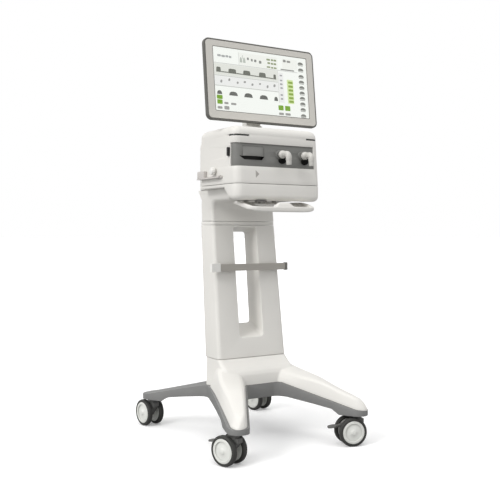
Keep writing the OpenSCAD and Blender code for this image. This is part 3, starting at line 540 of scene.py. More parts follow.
# ------------------------------------------------------------------ base
HUB_Y = -32.5                      # centre line of the base
SWIVEL_X, SWIVEL_Y = 250, 312.5    # caster swivel from the hub, SWIVEL_Y counted forward
LEG_ANGLE = 60.6                   # leg direction from the x axis
LEG_COS = math.cos(math.radians(LEG_ANGLE))
LEG_SIN = math.sin(math.radians(LEG_ANGLE))
HUB_WALL = 79.0                    # wall between the legs, from the hub line
CREASE_RADIUS = 30.0

# (distance from the hub axis, height)
FRAME_TOP = [(120, 200), (400, 131), (480, 121)]
COVER_TOP = [
    (90, 292), (120, 278), (147, 266), (185, 247), (224, 233), (263, 220), (301, 204.5),
    (339, 190), (373, 179), (395, 171.5), (414, 164), (428, 155), (439, 144), (446, 132)]
FRAME_PROFILE = [
    (0, 150), (140, 150), (250, 135.5), (318, 125), (345, 107.2), (478, 107.2), (478, 119),
    (466, 121.5), (400, 131), (330, 148), (120, 200), (0, 200)]
CHANNEL_PROFILE = [(0, 60), (348, 60), (348, 129), (120, 187), (0, 187)]
COVER_UNDERSIDE = [(0, 60), (490, 60), (490, 120.4), (466, 121.7), (400, 131.5), (120, 200.6),
                   (0, 200.6)]

# Leg cover stations: (distance past the swivel, value). The four edges are offsets across
# the leg, positive towards its inner side; the drop lowers the inner top near the hub.
OUTER_FOOT = [(-330, -84), (-214, -60), (-4, -18.5), (42, -12)]
OUTER_TOP = [(-330, -57), (-228, -52), (-157, -38), (-97, -19), (28, 3), (42, 6)]
INNER_TOP = [(-330, 26), (-200, 33), (0, 31), (42, 22)]
INNER_FOOT = [(-330, 42), (-150, 40.5), (0, 39), (42, 38)]
INNER_DROP = [(-330, 50), (-290, 42), (-250, 31), (-214, 20), (-180, 11), (-140, 4), (-100, 0)]

# Hub rings: height, half width, front y, back y, front radius, back radius
HUB_RINGS = [
    (184, 152.5, -110.6, 40, 16, 16), (204, 150.5, -110.0, 43, 16, 16),
    (220, 148.6, -109.2, 45.0, 15, 14), (236, 147.2, -107.2, 46.0, 15, 14),
    (248, 146.5, -101.5, 46.6, 15, 13), (258, 146.0, -92.0, 47.0, 15, 13),
    (268, 145.6, -78.0, 47.2, 15, 13), (279, 145.3, -64.0, 47.4, 15, 12),
    (292.2, 145.0, -51.0, 47.6, 15, 12)]


def leg_point(along, across):
    """Point of the right front leg past its swivel and towards its inner side; y forward."""
    return (SWIVEL_X + LEG_COS * along - LEG_SIN * across,
            SWIVEL_Y + LEG_SIN * along + LEG_COS * across)


def leg_crease(inner, shrink):
    """Fillet from the hub wall to the inner edge of a leg."""
    wall = HUB_WALL - shrink
    across = inner - shrink
    along = (wall - SWIVEL_Y - LEG_COS * across) / LEG_SIN
    edge_x = SWIVEL_X + LEG_COS * along - LEG_SIN * across
    tangent = CREASE_RADIUS / math.tan(math.radians((180 - LEG_ANGLE) / 2))
    return arc(edge_x - tangent, wall + CREASE_RADIUS, CREASE_RADIUS, -90, LEG_ANGLE - 90, 7)


def base_outline(shrink):
    """Plan of the base about the hub, anticlockwise, with y to the rear."""
    front_tip = arc(*leg_point(5, 10), 37 - shrink, 90 + LEG_ANGLE, -19.1, 16)
    right = [(x, -y) for x, y in leg_crease(47, shrink) + front_tip]
    right += arc(227.9, 49.6, 70 + shrink, 199.1, 150.6, 8)
    right += arc(*leg_point(0, 0), 40 - shrink, LEG_ANGLE - 90, 90 + LEG_ANGLE, 16)
    right += reversed(leg_crease(40, shrink))
    return right + [(-x, y) for x, y in reversed(right)]


def base_plan(shrink, step):
    """The base outline in the frame's place, with points no more than about step apart."""
    outline = base_outline(shrink)
    dense = []
    for i, (x, y) in enumerate(outline):
        next_x, next_y = outline[(i + 1) % len(outline)]
        parts = max(1, int(math.hypot(next_x - x, next_y - y) / step))
        for j in range(parts):
            dense.append((x + (next_x - x) * j / parts,
                          y + (next_y - y) * j / parts + HUB_Y))
    return dense


def hub_turned(profile, steps=128):
    """Solid of revolution about the hub; the profile runs from the axis out and back."""
    verts, faces = [], []
    m = len(profile)
    for i in range(steps):
        angle = 2 * math.pi * i / steps
        for r, z in profile:
            verts.append((r * math.cos(angle), r * math.sin(angle) + HUB_Y, z))
        j = (i + 1) % steps
        for k in range(m - 1):
            faces.append((i * m + k, j * m + k, j * m + k + 1, i * m + k + 1))
    return new_object("cutter", verts, faces)


def base_frame():
    body = prism("base_frame_skin", base_plan(0.0, 16), 60, 240, "z", GREY)
    boolean(body, hub_turned(FRAME_PROFILE), "INTERSECT")
    # open channel below
    channel = prism("channel", base_plan(8.0, 18), 40, 240, "z")
    boolean(channel, hub_turned(CHANNEL_PROFILE), "INTERSECT")
    boolean(body, channel)
    bevel(body, 2.4, 3, 50)
    place(body, "root", "base_frame")


def leg_cover_ring(along, side):
    """Section across a front leg cover: steep inner side and broad sloping outer side."""
    dome = 1.0  # falls to nothing over the domed tip
    if along > 8:
        dome = math.sqrt(max(0.0, 1 - ((along - 8) / 34.3) ** 2))
    middle = 10.5
    narrow = max(dome, 0.06)
    outer_foot, outer_top, inner_top, inner_foot = [
        middle + (interpolate(along, edge) - middle) * narrow
        for edge in (OUTER_FOOT, OUTER_TOP, INNER_TOP, INNER_FOOT)]
    drop = interpolate(along, INNER_DROP)

    def foot(across):
        return interpolate(math.hypot(*leg_point(along, across)), FRAME_TOP)

    def top(across, down):
        low = foot(across)
        high = interpolate(math.hypot(*leg_point(along, across)), COVER_TOP)
        return low + (max(high, low + 2) - low) * (0.35 + 0.65 * dome) - down

    z_outer, z_inner = foot(outer_foot), foot(inner_foot)
    z_outer_top, z_inner_top = top(outer_top, 4.0), top(inner_top, 2.0 + drop)
    slope = outer_top - outer_foot
    crown = inner_top - outer_top
    section = [
        (outer_foot, z_outer - 6),
        (outer_foot, z_outer + 3.0),
        (outer_foot + slope * 0.42, z_outer + 3 + (z_outer_top - z_outer - 3) * 0.52),
        (outer_top - slope * 0.10, z_outer_top - (z_outer_top - z_outer) * 0.07),
        (outer_top + crown * 0.14, top(outer_top + crown * 0.14, 1.0 + drop * 0.12)),
        (outer_top + crown * 0.5, top(outer_top + crown * 0.5, drop * 0.5)),
        (inner_top - crown * 0.12, top(inner_top - crown * 0.12, 0.4 + drop * 0.88)),
        (inner_top + 2.0 * narrow, z_inner_top - (z_inner_top - z_inner) * 0.10),
        (inner_top + (inner_foot - inner_top) * 0.7,
         z_inner + 3 + (z_inner_top - z_inner - 3) * 0.42),
        (inner_foot, z_inner + 3.0),
        (inner_foot, z_inner - 6)]
    ring = []
    for across, z in section:
        x, y = leg_point(along, across)
        ring.append((side * x, HUB_Y - y, z))
    return ring


def leg_cover(side):
    """Cover of one front leg; side is 1 for right and -1 for left."""
    start, end, steps = -330.0, 42.0, 36
    # stations crowd towards the tip
    return loft("leg", [
        leg_cover_ring(start + (end - start) * (1 - (1 - i / steps) ** 1.5), side)
        for i in range(steps + 1)])


def base_cover():
    """Hub that carries the column, melted together with the two front leg covers."""
    rings = [level(rounded_rect(-half, half, front, back, [r_front, r_front, r_back, r_back]), z)
             for z, half, front, back, r_front, r_back in HUB_RINGS]
    cover = loft("base_cover_skin", rings, WHITE)
    for side in (1, -1):
        boolean(cover, leg_cover(side), "UNION")
    remesh_smooth(cover, 2.4, 7, 0.55)
    # trim the underside to the frame's top and square the column seam
    boolean(cover, hub_turned(COVER_UNDERSIDE))
    boolean(cover, block("cutter", -300, 300, -300, 300, 288.8, 340))
    place(cover, "root", "base_cover", sharp=40)


# ------------------------------------------------------------------ ventilator unit
UNIT_HALF_WIDTH = 178
UNIT_BACK = 28
UNIT_CORNER = 28
UNIT_FOOT, UNIT_TOP = 916.5, 1115.0
UNIT_LEAN = math.tan(math.radians(5.04))
REAR_HALF_WIDTH, REAR_BACK = 150, 92    # narrower bay behind the unit

# rear bay: height, inset
REAR_RINGS = [(UNIT_FOOT, 0), (1060, 0), (1072, 1.0), (1080, 3.6), (1085, 7.4), (1088, 13)]
# alarm light slits: plans of the zones at the left and right front corners
LIGHT_ZONES = (
    [(-200, -260), (-116, -260), (-116, -172), (-200, -172)],
    [(122, -260), (200, -260), (200, -206), (122, -206)])
# way through behind the hatch, (x, z)
HATCH_WAY = [(-148.0, 1045.9), (-148.0, 1011.6), (-160.0, 1011.6), (-160.0, 1008.0),
             (-141.0, 996.0), (-67.0, 996.0), (-56.0, 1008.0), (-56.0, 1045.9)]


def front_y(z):
    """Leaning front face of the unit."""
    return -229.6 + (z - 915) * UNIT_LEAN


def housing_ring(z, shrink, inset=0.0):
    """Plan of the unit; inset draws the rings in over the rounded top."""
    half = UNIT_HALF_WIDTH - shrink - inset
    corner = max(4.0, UNIT_CORNER - shrink - inset * 0.6)
    return level(rounded_rect(-half, half, front_y(z) + shrink + inset,
                              UNIT_BACK - shrink - inset, [corner, corner, 14, 14], 10), z)


def housing_solid(name, shrink, foot=UNIT_FOOT, top_radius=24.0, material=None):
    """The unit's main volume, shrunk by an even wall."""
    rings = [housing_ring(z, shrink) for z in (foot, 930, 955, 975, 1000, 1030, 1055, 1078)]
    top = UNIT_TOP - shrink
    for i in range(9):
        angle = math.radians(90 * i / 8)
        rings.append(housing_ring(top - top_radius + top_radius * math.sin(angle), shrink,
                                  top_radius * (1 - math.cos(angle))))
    return loft(name, rings, material)


def skin_recess(outline, low, high, depth):
    """Tool that sinks a zone of the housing's skin to a depth."""
    zone = prism("zone", outline, low, high, "z")
    boolean(zone, housing_solid("cutter", depth, foot=900.0))
    return zone


def unit_housing():
    housing = housing_solid("unit_housing_skin", 0.0, material=WHITE)
    half = REAR_HALF_WIDTH
    rear = loft("rear", [
        level(rounded_rect(-half + i, half - i, -60, REAR_BACK - i, [2, 2, 16, 16]), z)
        for z, i in REAR_RINGS])
    boolean(housing, rear, "UNION")
    # pocket for the port band: front run and the part that wraps the left corner
    band_zone = [(-220, -260), (151, -260), (151, -150), (-150, -150), (-150, -190),
                 (-220, -190)]
    boolean(housing, skin_recess(band_zone, 975.0, 1055.0, 3.4))
    for outline in LIGHT_ZONES:
        boolean(housing, skin_recess(outline, 1078.6, 1084.6, 2.2))
    # hollow inside and rear opening
    cavity = housing_solid("cavity", 7.4, foot=923.0, top_radius=17.0)
    rear_cavity = [(-143, -80), (143, -80), (143, 85.0), (-143, 85.0)]
    boolean(cavity, prism("rear_cavity", rear_cavity, 923.0, 1078.0, "z"), "UNION")
    boolean(housing, cavity)
    opening = rounded_rect(-136, 136, 930, 1076, 5, 4)
    boolean(housing, prism("cutter", opening, 80.0, 110.0, "y"))
    boolean(housing, prism("cutter", HATCH_WAY, -240, -205, "y"))
    # seat of the latch on the left side
    latch = rounded_rect(-188.5, -175.5, 1009.5, 1040.5, 3, 4)
    boolean(housing, prism("cutter", latch, -200, -167.8, "x"))
    bevel(housing, 0.8, 2, 42)
    place(housing, "root", "unit_housing")


def unit_tray():
    """Tray with the rounded bumper under the unit."""
    half, front, back, corner = UNIT_HALF_WIDTH, -230, 40, UNIT_CORNER
    radius = 18
    rings = []
    for i in range(9):
        angle = math.radians(90 * i / 8)
        inset = radius * (1 - math.sin(angle))
        round_front = corner - inset * 0.7
        outline = rounded_rect(-half + inset, half - inset, front + inset, back,
                               [round_front, round_front, 3, 3], 10)
        rings.append(level(outline, 877 - radius * math.cos(angle)))
    rings.append(level(rounded_rect(-half, half, front, back, [corner, corner, 3, 3], 10),
                       914.9))
    tray = loft("unit_tray_skin", rings, WHITE)
    # clear the underside behind the bumper, profile of (y, z)
    underside = [(-197, 850), (-192, 859), (-152, 897), (-146, 905), (60, 905), (60, 850)]
    boolean(tray, prism("cutter", underside, -300, 300, "x"))
    boolean(tray, block("cutter", -300, 300, UNIT_BACK, 80, 840, 930))
    bevel(tray, 1.6, 3, 40)
    place(tray, "root", "unit_tray")


def unit_tray_rear():
    half = REAR_HALF_WIDTH
    outline = rounded_rect(-half, half, 20, REAR_BACK, [2, 2, 16, 16])
    plate = loft("unit_tray_rear", [level(outline, z) for z in (905.2, 915.2)], WHITE)
    bevel(plate, 1.0, 2, 50)
    place(plate, "root")


# ------------------------------------------------------------------ port band, hatch, sockets
PORTS = (("exp", 5), ("insp", 101))    # name, x
PORT_Z = 1020
BALL_Y = -238                          # centre of the ball joint in each port
BAND_WALL = 3.2
SOCKET_STEPS = 72

# opening of the hatch with the finger slot below it, (x, z)
HATCH_OPENING = [(-144.6, 1044.6), (-144.9, 1009.6), (-156.0, 1010.2), (-157.0, 1009.2),
                 (-139.5, 997.8), (-68.5, 997.8), (-59.0, 1008.9), (-59.4, 1044.6)]
SHADE_LINER_OUTER = [(-146.0, 1045.6), (-146.0, 1011.0), (-158.6, 1011.0), (-158.6, 1008.6),
               (-140.0, 996.4), (-68.0, 996.4), (-57.8, 1008.2), (-57.8, 1045.6)]
SHADE_LINER_INNER = [(-144.7, 1044.5), (-144.7, 1009.9), (-156.2, 1009.9), (-156.2, 1009.3),
               (-139.6, 998.2), (-68.4, 998.2), (-59.5, 1008.6), (-59.5, 1044.5)]
# (radius, distance forward)
SOCKET_PROFILE = [(9.2, 0.0), (9.2, 28.6), (9.8, 29.4), (14.4, 29.4), (15.4, 28.4),
                  (15.5, 22.6), (17.0, 22.2), (17.0, 0.0)]
LEVER_PROFILE = [(0.0, 0.0), (13.0, 0.0), (13.0, 12.0), (10.8, 14.4), (0.0, 15.0)]

HATCH_X, HATCH_HALF = -102, 42.4
HATCH_FOOT, HATCH_TOP = 1009.6, 1044.2


def port_bore(x, radius, y0, y1):
    """Round tool along y through a port's centre."""
    outline = []
    for i in range(48):
        angle = 2 * math.pi * i / 48
        outline.append((x + radius * math.cos(angle), PORT_Z + radius * math.sin(angle)))
    return prism("cutter", outline, y0, y1, "y")


def port_panel():
    """Grey band across the front that wraps the left corner."""
    panel = housing_solid("port_panel_skin", BAND_WALL, material=BAND)
    boolean(panel, housing_solid("cutter", 7.0, foot=900.0))
    zone = [(-220, -260), (150.6, -260), (150.6, -195), (-171.0, -195), (-171.0, -190.4),
            (-220, -190.4)]
    boolean(panel, prism("zone", zone, 975.3, 1054.7, "z"), "INTERSECT")
    boolean(panel, prism("cutter", HATCH_OPENING, -240, -190, "y"))
    for _, x in PORTS:
        boolean(panel, port_bore(x, 9.3, -240, -180))
    bevel(panel, 0.25, 2, 50)
    place(panel, "root", "port_panel")


def port_socket(number, x):
    socket = lathe("port_socket_%d" % number, SOCKET_PROFILE, (x, -195.2, PORT_Z), (0, -1, 0),
                   SOCKET_STEPS, BAND)
    place(socket, "root")


def port_lever(number, x):
    """Black release lever below a port, hollowed round the ball joint; it also paints the shadow
    below the ball.
    """
    lever = lathe("port_lever_%d" % number, LEVER_PROFILE, (x + 8.4, -217.6, 1001.6),
                  # Near-black lever that also serves as painted shadow under the ball joint.
                  (0, -1, 0), 64, SHADE_BLACK)
    radius = 16.0
    profile = [(0.0, -radius)]
    for degrees in range(-80, 81, 10):
        angle = math.radians(degrees)
        profile.append((radius * math.cos(angle), radius * math.sin(angle)))
    profile.append((0.0, radius))
    boolean(lever, lathe("cutter", profile, (x, BALL_Y, PORT_Z), (0, -1, 0), 48))
    boolean(lever, port_bore(x, 15.9, -250, -210))
    place(lever, "root")


def slot_shade_liner():
    """Near-black walls behind the finger slot: painted shade for the dark inside of the slot."""
    shade_liner = prism("slot_shade_liner", SHADE_LINER_OUTER, -219.2, -206.4, "y", SHADE_BLACK)
    boolean(shade_liner, prism("cutter", SHADE_LINER_INNER, -230, -200, "y"))
    boolean(shade_liner, housing_solid("trim", 3.5, foot=900.0), "INTERSECT")
    place(shade_liner, "root")


def hatch_front(x, z):
    """Front face of the hatch: flush above and swelling towards its lower edge."""
    up = (z - HATCH_FOOT) / (HATCH_TOP - HATCH_FOOT)
    out = abs(x - HATCH_X) / HATCH_HALF
    swell_z = math.cos(min(1.0, up * 1.02) * math.pi / 2) ** 1.25
    swell_x = max(0.0, 1 - out ** 3.2) ** 0.75
    return front_y(z) + 3.1 - 11.2 * swell_x * swell_z


def hatch():
    columns, rows = 40, 26
    grid = []
    for j in range(rows + 1):
        z = HATCH_FOOT + (HATCH_TOP - HATCH_FOOT) * j / rows
        for i in range(columns + 1):
            grid.append((HATCH_X - HATCH_HALF + 2 * HATCH_HALF * i / columns, z))
    verts = [(x, hatch_front(x, z), z) for x, z in grid]
    # back sheet, so that the swollen part stays a thin shell
    for x, z in grid:
        y = hatch_front(HATCH_X + (x - HATCH_X) * 0.965, z) + 3.0
        verts.append((x, min(y, front_y(z) + 6.3), z))

    faces = []
    row = columns + 1
    back = len(grid)
    for j in range(rows):
        for i in range(columns):
            a = j * row + i
            faces.append((a, a + 1, a + 1 + row, a + row))
    for j in range(rows):
        for i in range(columns):
            a = back + j * row + i
            faces.append((a, a + row, a + 1 + row, a + 1))
    top = rows * row
    for i in range(columns):
        faces.append((i, back + i, back + i + 1, i + 1))
        faces.append((top + i, top + i + 1, back + top + i + 1, back + top + i))
    for j in range(rows):
        a, b = j * row, (j + 1) * row
        faces.append((a, b, back + b, back + a))
        faces.append((a + columns, back + a + columns, back + b + columns, b + columns))
    plate = new_object("hatch_skin", verts, faces, BAND)
    bevel(plate, 0.25, 2, 55)
    place(plate, "hatch", "access_hatch", sharp=28)


def port_band():
    port_panel()
    for number, (_, x) in enumerate(PORTS, 1):
        port_socket(number, x)
        port_lever(number, x)
    slot_shade_liner()
    hatch()


# ------------------------------------------------------------------ port elbows
BEND_Y, BEND_RADIUS = -262.0, 12.5
SPOUT_Y = BEND_Y - BEND_RADIUS
ELBOW_RADIUS, ELBOW_BALL = 10.4, 14.2
SPOUT_LEAN = 0.06
# spout: height, radius, shift to the right
SPOUT = [(1003.6, 10.2, 1.3), (1001.6, 10.0, 1.4), (1001.2, 10.7, 1.4), (998.6, 10.7, 1.5),
         (998.2, 9.7, 1.5), (990.0, 9.3, 2.0), (983.0, 9.0, 2.3), (981.4, 8.4, 2.4)]
MOUTH_PROFILE = [(0, -3), (6.6, -3), (6.6, 22), (0, 24)]


def elbow(name, x):
    """Elbow out of a port: a ball joint, a bend and a spout that opens downwards."""
    forward = Vector((0, -1, 0))
    down = Vector((SPOUT_LEAN, 0, -1)).normalized()
    straight = [(-214.0, 9.0), (-222.0, 9.0)]    # y, radius
    for degrees in range(-58, 50, 9):
        angle = math.radians(degrees)
        straight.append((BALL_Y - ELBOW_BALL * math.sin(angle), ELBOW_BALL * math.cos(angle)))
    straight += [(y, ELBOW_RADIUS) for y in (-251.5, -256.0, -261.0)]

    # stations: centre, radius, direction
    stations = [((x, y, PORT_Z), radius, forward) for y, radius in straight]
    for degrees in range(10, 91, 10):
        a = math.radians(degrees)
        centre = (x + 1.2 * degrees / 90, BEND_Y - BEND_RADIUS * math.sin(a),
                  PORT_Z - BEND_RADIUS + BEND_RADIUS * math.cos(a))
        ahead = down if degrees == 90 else Vector((0, -math.cos(a), -math.sin(a)))
        stations.append((centre, ELBOW_RADIUS, ahead))
    stations += [((x + shift, SPOUT_Y, z), radius, down) for z, radius, shift in SPOUT]

    rings = []
    for centre, radius, ahead in stations:
        side = Vector((1, 0, SPOUT_LEAN if ahead is down else 0)).normalized()
        other = side.cross(ahead)
        ring = []
        for k in range(40):
            angle = 2 * math.pi * k / 40
            ring.append(tuple(Vector(centre) + side * math.cos(angle) * radius
                              + other * math.sin(angle) * radius))
        rings.append(ring)
    skin = loft(name + "_elbow_skin", rings, ELBOW)
    boolean(skin, lathe("cutter", MOUTH_PROFILE, (x + 2.4, SPOUT_Y, 981.0),
                        (-SPOUT_LEAN, 0, 1), 32))
    place(skin, name + "_port", name + "_elbow", sharp=26)


# ------------------------------------------------------------------ push handle
HANDLE_FRONT, HANDLE_Z = -253, 827.5
# left side of the bar from the rear forwards, (x, y, z)
HANDLE_SIDE = [(-118, -132, 852.5), (-126, -150, 852.3), (-132, -170, 850.2),
               (-134.5, -190, 846.0), (-134.0, -208, 841.4), (-131.0, -226, 836.2)]
# raised centre: height, half width, front y, back y, corner radius
MOUND_RINGS = [(823, 46, -259.6, -243, 5), (835.6, 44, -259.4, -240, 6),
               (839, 38.5, -258.4, -239, 7), (846.0, 30, -255.6, -239.4, 7),
               (850.4, 25, -252.4, -240.6, 5), (851.8, 19, -250.0, -242.4, 3.2)]
# floor of the scoop: half width, y, height of its underside
SCOOP_FLOOR = [(112, -250, 822.5), (126, -232, 829.0), (130, -205, 836.6), (130, -180, 843.4),
               (124, -146, 851.4)]


def handle_path():
    left = list(HANDLE_SIDE)
    for k in range(1, 9):
        angle = math.radians(90 * k / 8)
        left.append((-131 + 22 * (1 - math.cos(angle)), -230 - 22 * math.sin(angle),
                     835 - 7.2 * math.sin(angle)))
    left += [(-98, -252.6, 827.6), (-80, HANDLE_FRONT, HANDLE_Z)]
    middle = [(x, HANDLE_FRONT, HANDLE_Z) for x in (-40, 0, 40)]
    return left + middle + [(-x, y, z) for x, y, z in reversed(left)]


def push_handle():
    """Rounded scoop under the front of the unit."""
    path = handle_path()
    last = len(path) - 1

    def section(i):
        t = i / last
        top = 6.2 + 2.6 * min(1, min(t, 1 - t) * 2 * 1.6)
        from_end = min(i, last - i)
        # the underside is drawn up round the front corners
        bottom = -top + 3.6 * max(0.0, 1 - abs(from_end - 10) / 5.0)
        return rounded_rect(-8.2, 8.2, bottom, top, [4.4, 4.4, 3.0, 3.0], 5)

    bar = sweep("push_handle_skin", path, section, WHITE)
    mound = loft("mound", [
        level([(x + 4, y) for x, y in rounded_rect(-half, half, front, back, r, 5)], z)
        for z, half, front, back, r in MOUND_RINGS], WHITE)
    boolean(bar, mound, "UNION")
    floor = loft("scoop_floor", [
        [(-half, y, z), (half, y, z), (half, y, z + 4.2), (-half, y, z + 4.2)]
        for half, y, z in SCOOP_FLOOR])
    boolean(floor, prism("cutter", rounded_rect(-75, 75, -206, -168, 12, 6), 800, 900, "z"))
    boolean(bar, floor, "UNION")
    # web that joins the scoop to the tray, narrowing towards the rear
    web = block("web", -126, 126, -150, -88, 850.4, 856.4)
    for outline in ([(-200, -160), (-128, -160), (-104, -80), (-200, -80)],
                    [(200, -160), (200, -80), (104, -80), (128, -160)]):
        boolean(web, prism("cutter", outline, 800, 900, "z"))
    boolean(bar, web, "UNION")
    remesh_smooth(bar, 1.9, 5, 0.5)
    boolean(bar, block("cutter", -300, 300, -300, 0, 857.2, 900))
    place(bar, "root", "push_handle", sharp=40)


def handle_bosses():
    profile = [(3.2, 0.0), (8.6, 0.0), (9.0, 0.5), (9.0, 4.4), (3.2, 4.4)]
    for tag, x in (("l", -60), ("r", 60)):
        boss = lathe("handle_boss_" + tag, profile, (x, -100, 857.3), (0, 0, 1), 40, WHITE)
        place(boss, "root")


def handle_catch():
    """Dark catch under the bumper, left of the middle."""
    catch = block("handle_catch", -92, -50, -226, -208, 853.0, 858.6, CATCH)
    bevel(catch, 1.6, 2)
    tongue = block("tongue", -78, -62, -229, -210, 848.0, 854.5, CATCH)
    bevel(tongue, 1.6, 2)
    boolean(catch, tongue, "UNION")
    place(catch, "root")


# ------------------------------------------------------------------ left side: bracket and knob
KNOB_Y, KNOB_Z = -85, 964
# x, radius, depth of the flutes
KNOB_RINGS = [(-179.4, 4.6, 0), (-183.6, 4.6, 0), (-183.8, 12.0, 0.5), (-184.6, 13.2, 1.2),
              (-193.6, 12.9, 1.2), (-195.6, 12.2, 0.9), (-196.8, 10.6, 0.2), (-197.2, 8.6, 0)]


def side_bracket():
    wall = -178.4    # face against the unit's side
    shelf = block("side_bracket_skin", -193.8, wall, -138, 26, 938.2, 942.0, BRACKET)
    boolean(shelf, block("cutter", -200, -186, -150, -132, 930, 950))
    rear_block = block("rear_block", -192.4, wall, -24, 25.6, 940.0, 968.2)
    bevel(rear_block, 2.4)
    boolean(shelf, rear_block, "UNION")
    boolean(shelf, block("rib", -182.2, wall, -136, -24, 940.0, 946.0), "UNION")
    tip = block("tip", -190.0, -180.0, -132, -120, 941.0, 947.4)
    bevel(tip, 2.0)
    boolean(shelf, tip, "UNION")
    bevel(shelf, 0.8, 2, 50)
    place(shelf, "root", "side_bracket")


def side_knob():
    """Knob with twelve flutes and a domed face on a short spindle."""
    def ring(x, radius, flute):
        points = []
        for k in range(96):
            a = 2 * math.pi * k / 96
            r = radius - flute * (0.5 + 0.5 * math.cos(a * 12)) ** 3
            points.append((x, KNOB_Y + r * math.cos(a), KNOB_Z + r * math.sin(a)))
        return points
    knob = loft("side_knob_skin", [ring(*row) for row in KNOB_RINGS], KNOB)
    place(knob, "knob", "side_knob", sharp=26)


# ------------------------------------------------------------------ casters
# (radius, distance from the middle of the axle)
WHEEL_CAP = [(0.0, 33.0), (8.6, 33.0), (8.6, 35.6), (8.0, 36.6), (6.0, 37.2), (0.0, 37.5)]
WHEEL_RING = [(30.4, 34.4), (35.2, 34.4), (35.0, 35.5), (34.2, 35.9), (31.4, 35.9),
              (30.6, 35.5)]


def wheel_trim():
    """Centre caps and rings on both sides of every caster."""
    for joint in frame["record"]["behaviour"]["joints"]:
        if not joint["name"].endswith("_roll"):
            continue
        tag = joint["name"][:2]
        origin = Vector(joint["pos_m"]) / MM
        axle = Vector(joint["axis"]).normalized()
        for side, sign in (("a", 1), ("b", -1)):
            for part, profile, steps in (("cap", WHEEL_CAP, 48), ("ring", WHEEL_RING, 72)):
                name = "caster_%s_%s_%s" % (tag, part, side)
                trim = lathe(name, profile, origin, axle * sign, steps, HUB)
                place(trim, "%s_wheels" % tag, sharp=26)


# ------------------------------------------------------------------ CAD pieces that stay
SMALL_PIECES = {"base_screws", "power_switch", "mainboard", "blower_impeller", "fan_rotor",
                "sensor_cassette", "lcd_panel", "touch_glass", "power_inlet"}
# edge width by the ending of the piece's name
EDGE_WIDTHS = {"_fork": 1.3, "_tyres": 2.0, "_hubs": 0.6, "monitor_rim": 1.3,
               "monitor_rear": 2.4, "monitor_yoke": 2.0}


def soften(node, width):
    """Welds the imported triangles, merges the flat ones and rounds the edges a little."""
    weld = node.modifiers.new("weld", "WELD")
    weld.merge_threshold = 0.00002
    flat = node.modifiers.new("flat", "DECIMATE")
    flat.decimate_type = "DISSOLVE"
    flat.angle_limit = math.radians(0.5)
    edge = node.modifiers.new("edge", "BEVEL")
    edge.width = width * MM
    edge.segments = 3 if width > 1 else 2
    edge.limit_method = "ANGLE"
    edge.angle_limit = math.radians(34.0)
    edge.use_clamp_overlap = True
    edge.harden_normals = False


def soften_cad_pieces():
    for row in frame["record"]["subparts"]:
        name = row["node"]
        if name in replaced_nodes:
            continue
        width = 0.3 if name in SMALL_PIECES else 0.7
        for ending, special in EDGE_WIDTHS.items():
            if name.endswith(ending):
                width = special
        soften(NODES[name], width)


# ------------------------------------------------------------------ display graphics
SCREEN_COS, SCREEN_SIN = (f(math.radians(6.2)) for f in (math.cos, math.sin))
FIELD = (7.06, 7.16)    # depths behind the monitor's front face: background patches
INK = (6.9, 7.05)       # and the marks in front of them


def monitor_point(x, z, depth):
    """Point of the tilted monitor, from its own x and z and a depth behind its front."""
    return (x, -117.3 + depth * SCREEN_COS + z * SCREEN_SIN,
            1284.5 - depth * SCREEN_SIN + z * SCREEN_COS)


def in_window(x, z):
    """Shrinks the layout slightly so that it fits inside the window."""
    return -195.5 + (x + 195) * 0.971, -109.5 + (z + 111.5) * 0.972


def screen_layer(name, outlines, material, depths):
    verts, faces = [], []
    for outline in outlines:
        points = [in_window(x, z) for x, z in outline]
        k, n = len(verts), len(points)
        for depth in depths:
            verts += [monitor_point(x, z, depth) for x, z in points]
        faces.append(tuple(range(k, k + n)))
        faces.append(tuple(range(k + n, k + 2 * n))[::-1])
        for j in range(n):
            q = (j + 1) % n
            faces.append((k + j, k + n + j, k + n + q, k + q))
    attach(new_object(name, verts, faces, material, weld=False), "screen")


def chip(x0, x1, z0, z1, radius=2.0, lean=0.0):
    """Rounded patch, leaning sideways by lean for each unit of height."""
    radius = min(radius, (x1 - x0) / 2 - .05, (z1 - z0) / 2 - .05)
    return [(x + lean * (z - z0), z) for x, z in rounded_rect(x0, x1, z0, z1, radius, 4)]


def chips(rows, **shape):
    return [chip(*row, **shape) for row in rows]


def dome(x0, x1, z0, z1, power, steps=14):
    """Flat-footed hump; a higher power squares its shoulders."""
    outline = [(x0, z0), (x1, z0)]
    for i in range(1, steps):
        t = 1 - 2 * i / steps
        outline.append(((x0 + x1) / 2 + t * (x1 - x0) / 2,
                        z0 + (z1 - z0) * (1 - abs(t) ** power) ** (1 / power)))
    return outline


def domes(rows, power):
    return [dome(*row, power) for row in rows]


def side_controls():
    """Column of knob-like signs at the right edge, each with a line below."""
    outlines = []
    for z in (102, 78, 52, 30, 8, -13, -34, -56, -78, -102):
        outlines.append(dome(177, 203, z - 5, z + 5, 2.2))
        outlines.append(chip(179, 201, z - 9.5, z - 7, 1))
    return outlines


# The layout's rows are x0, x1, z0, z1 and, where given, the corner radius.
PRESSURE_PLATEAUS = [(-186, -166, 30, 49), (-136, -101, 29.5, 47), (-73, -40, 29, 47),
                     (-4, 28, 28, 47), (61, 73, 27, 46)]
PRESSURE_BASE = [    # strips between the plateaus, corners as (x, z)
    [(-165.5, 30.2), (-136.5, 30.2), (-136.5, 34.0), (-165.5, 34.0)],
    [(-100.6, 29.8), (-73.4, 29.3), (-73.4, 33.2), (-100.6, 33.8)],
    [(-39.6, 29.0), (-4.4, 28.4), (-4.4, 32.2), (-39.6, 33.0)],
    [(28.4, 28.0), (60.6, 27.4), (60.6, 31.2), (28.4, 32.0)]]
FLOW = [(-172, -164, -9, 2), (-138, -130, 0, 10), (-103, -95, -7, 2), (-73, -63, -1, 7),
        (-40, -31, -8, 1), (-6, 3, -1, 6), (27, 35, -10, 1), (58, 67, -3, 8)]
VOLUME = [(-187, -166, -52, -38), (-137, -100, -53, -38), (-73, -36, -54, -38),
          (-6, 31, -55, -39), (59, 76, -56, -40)]

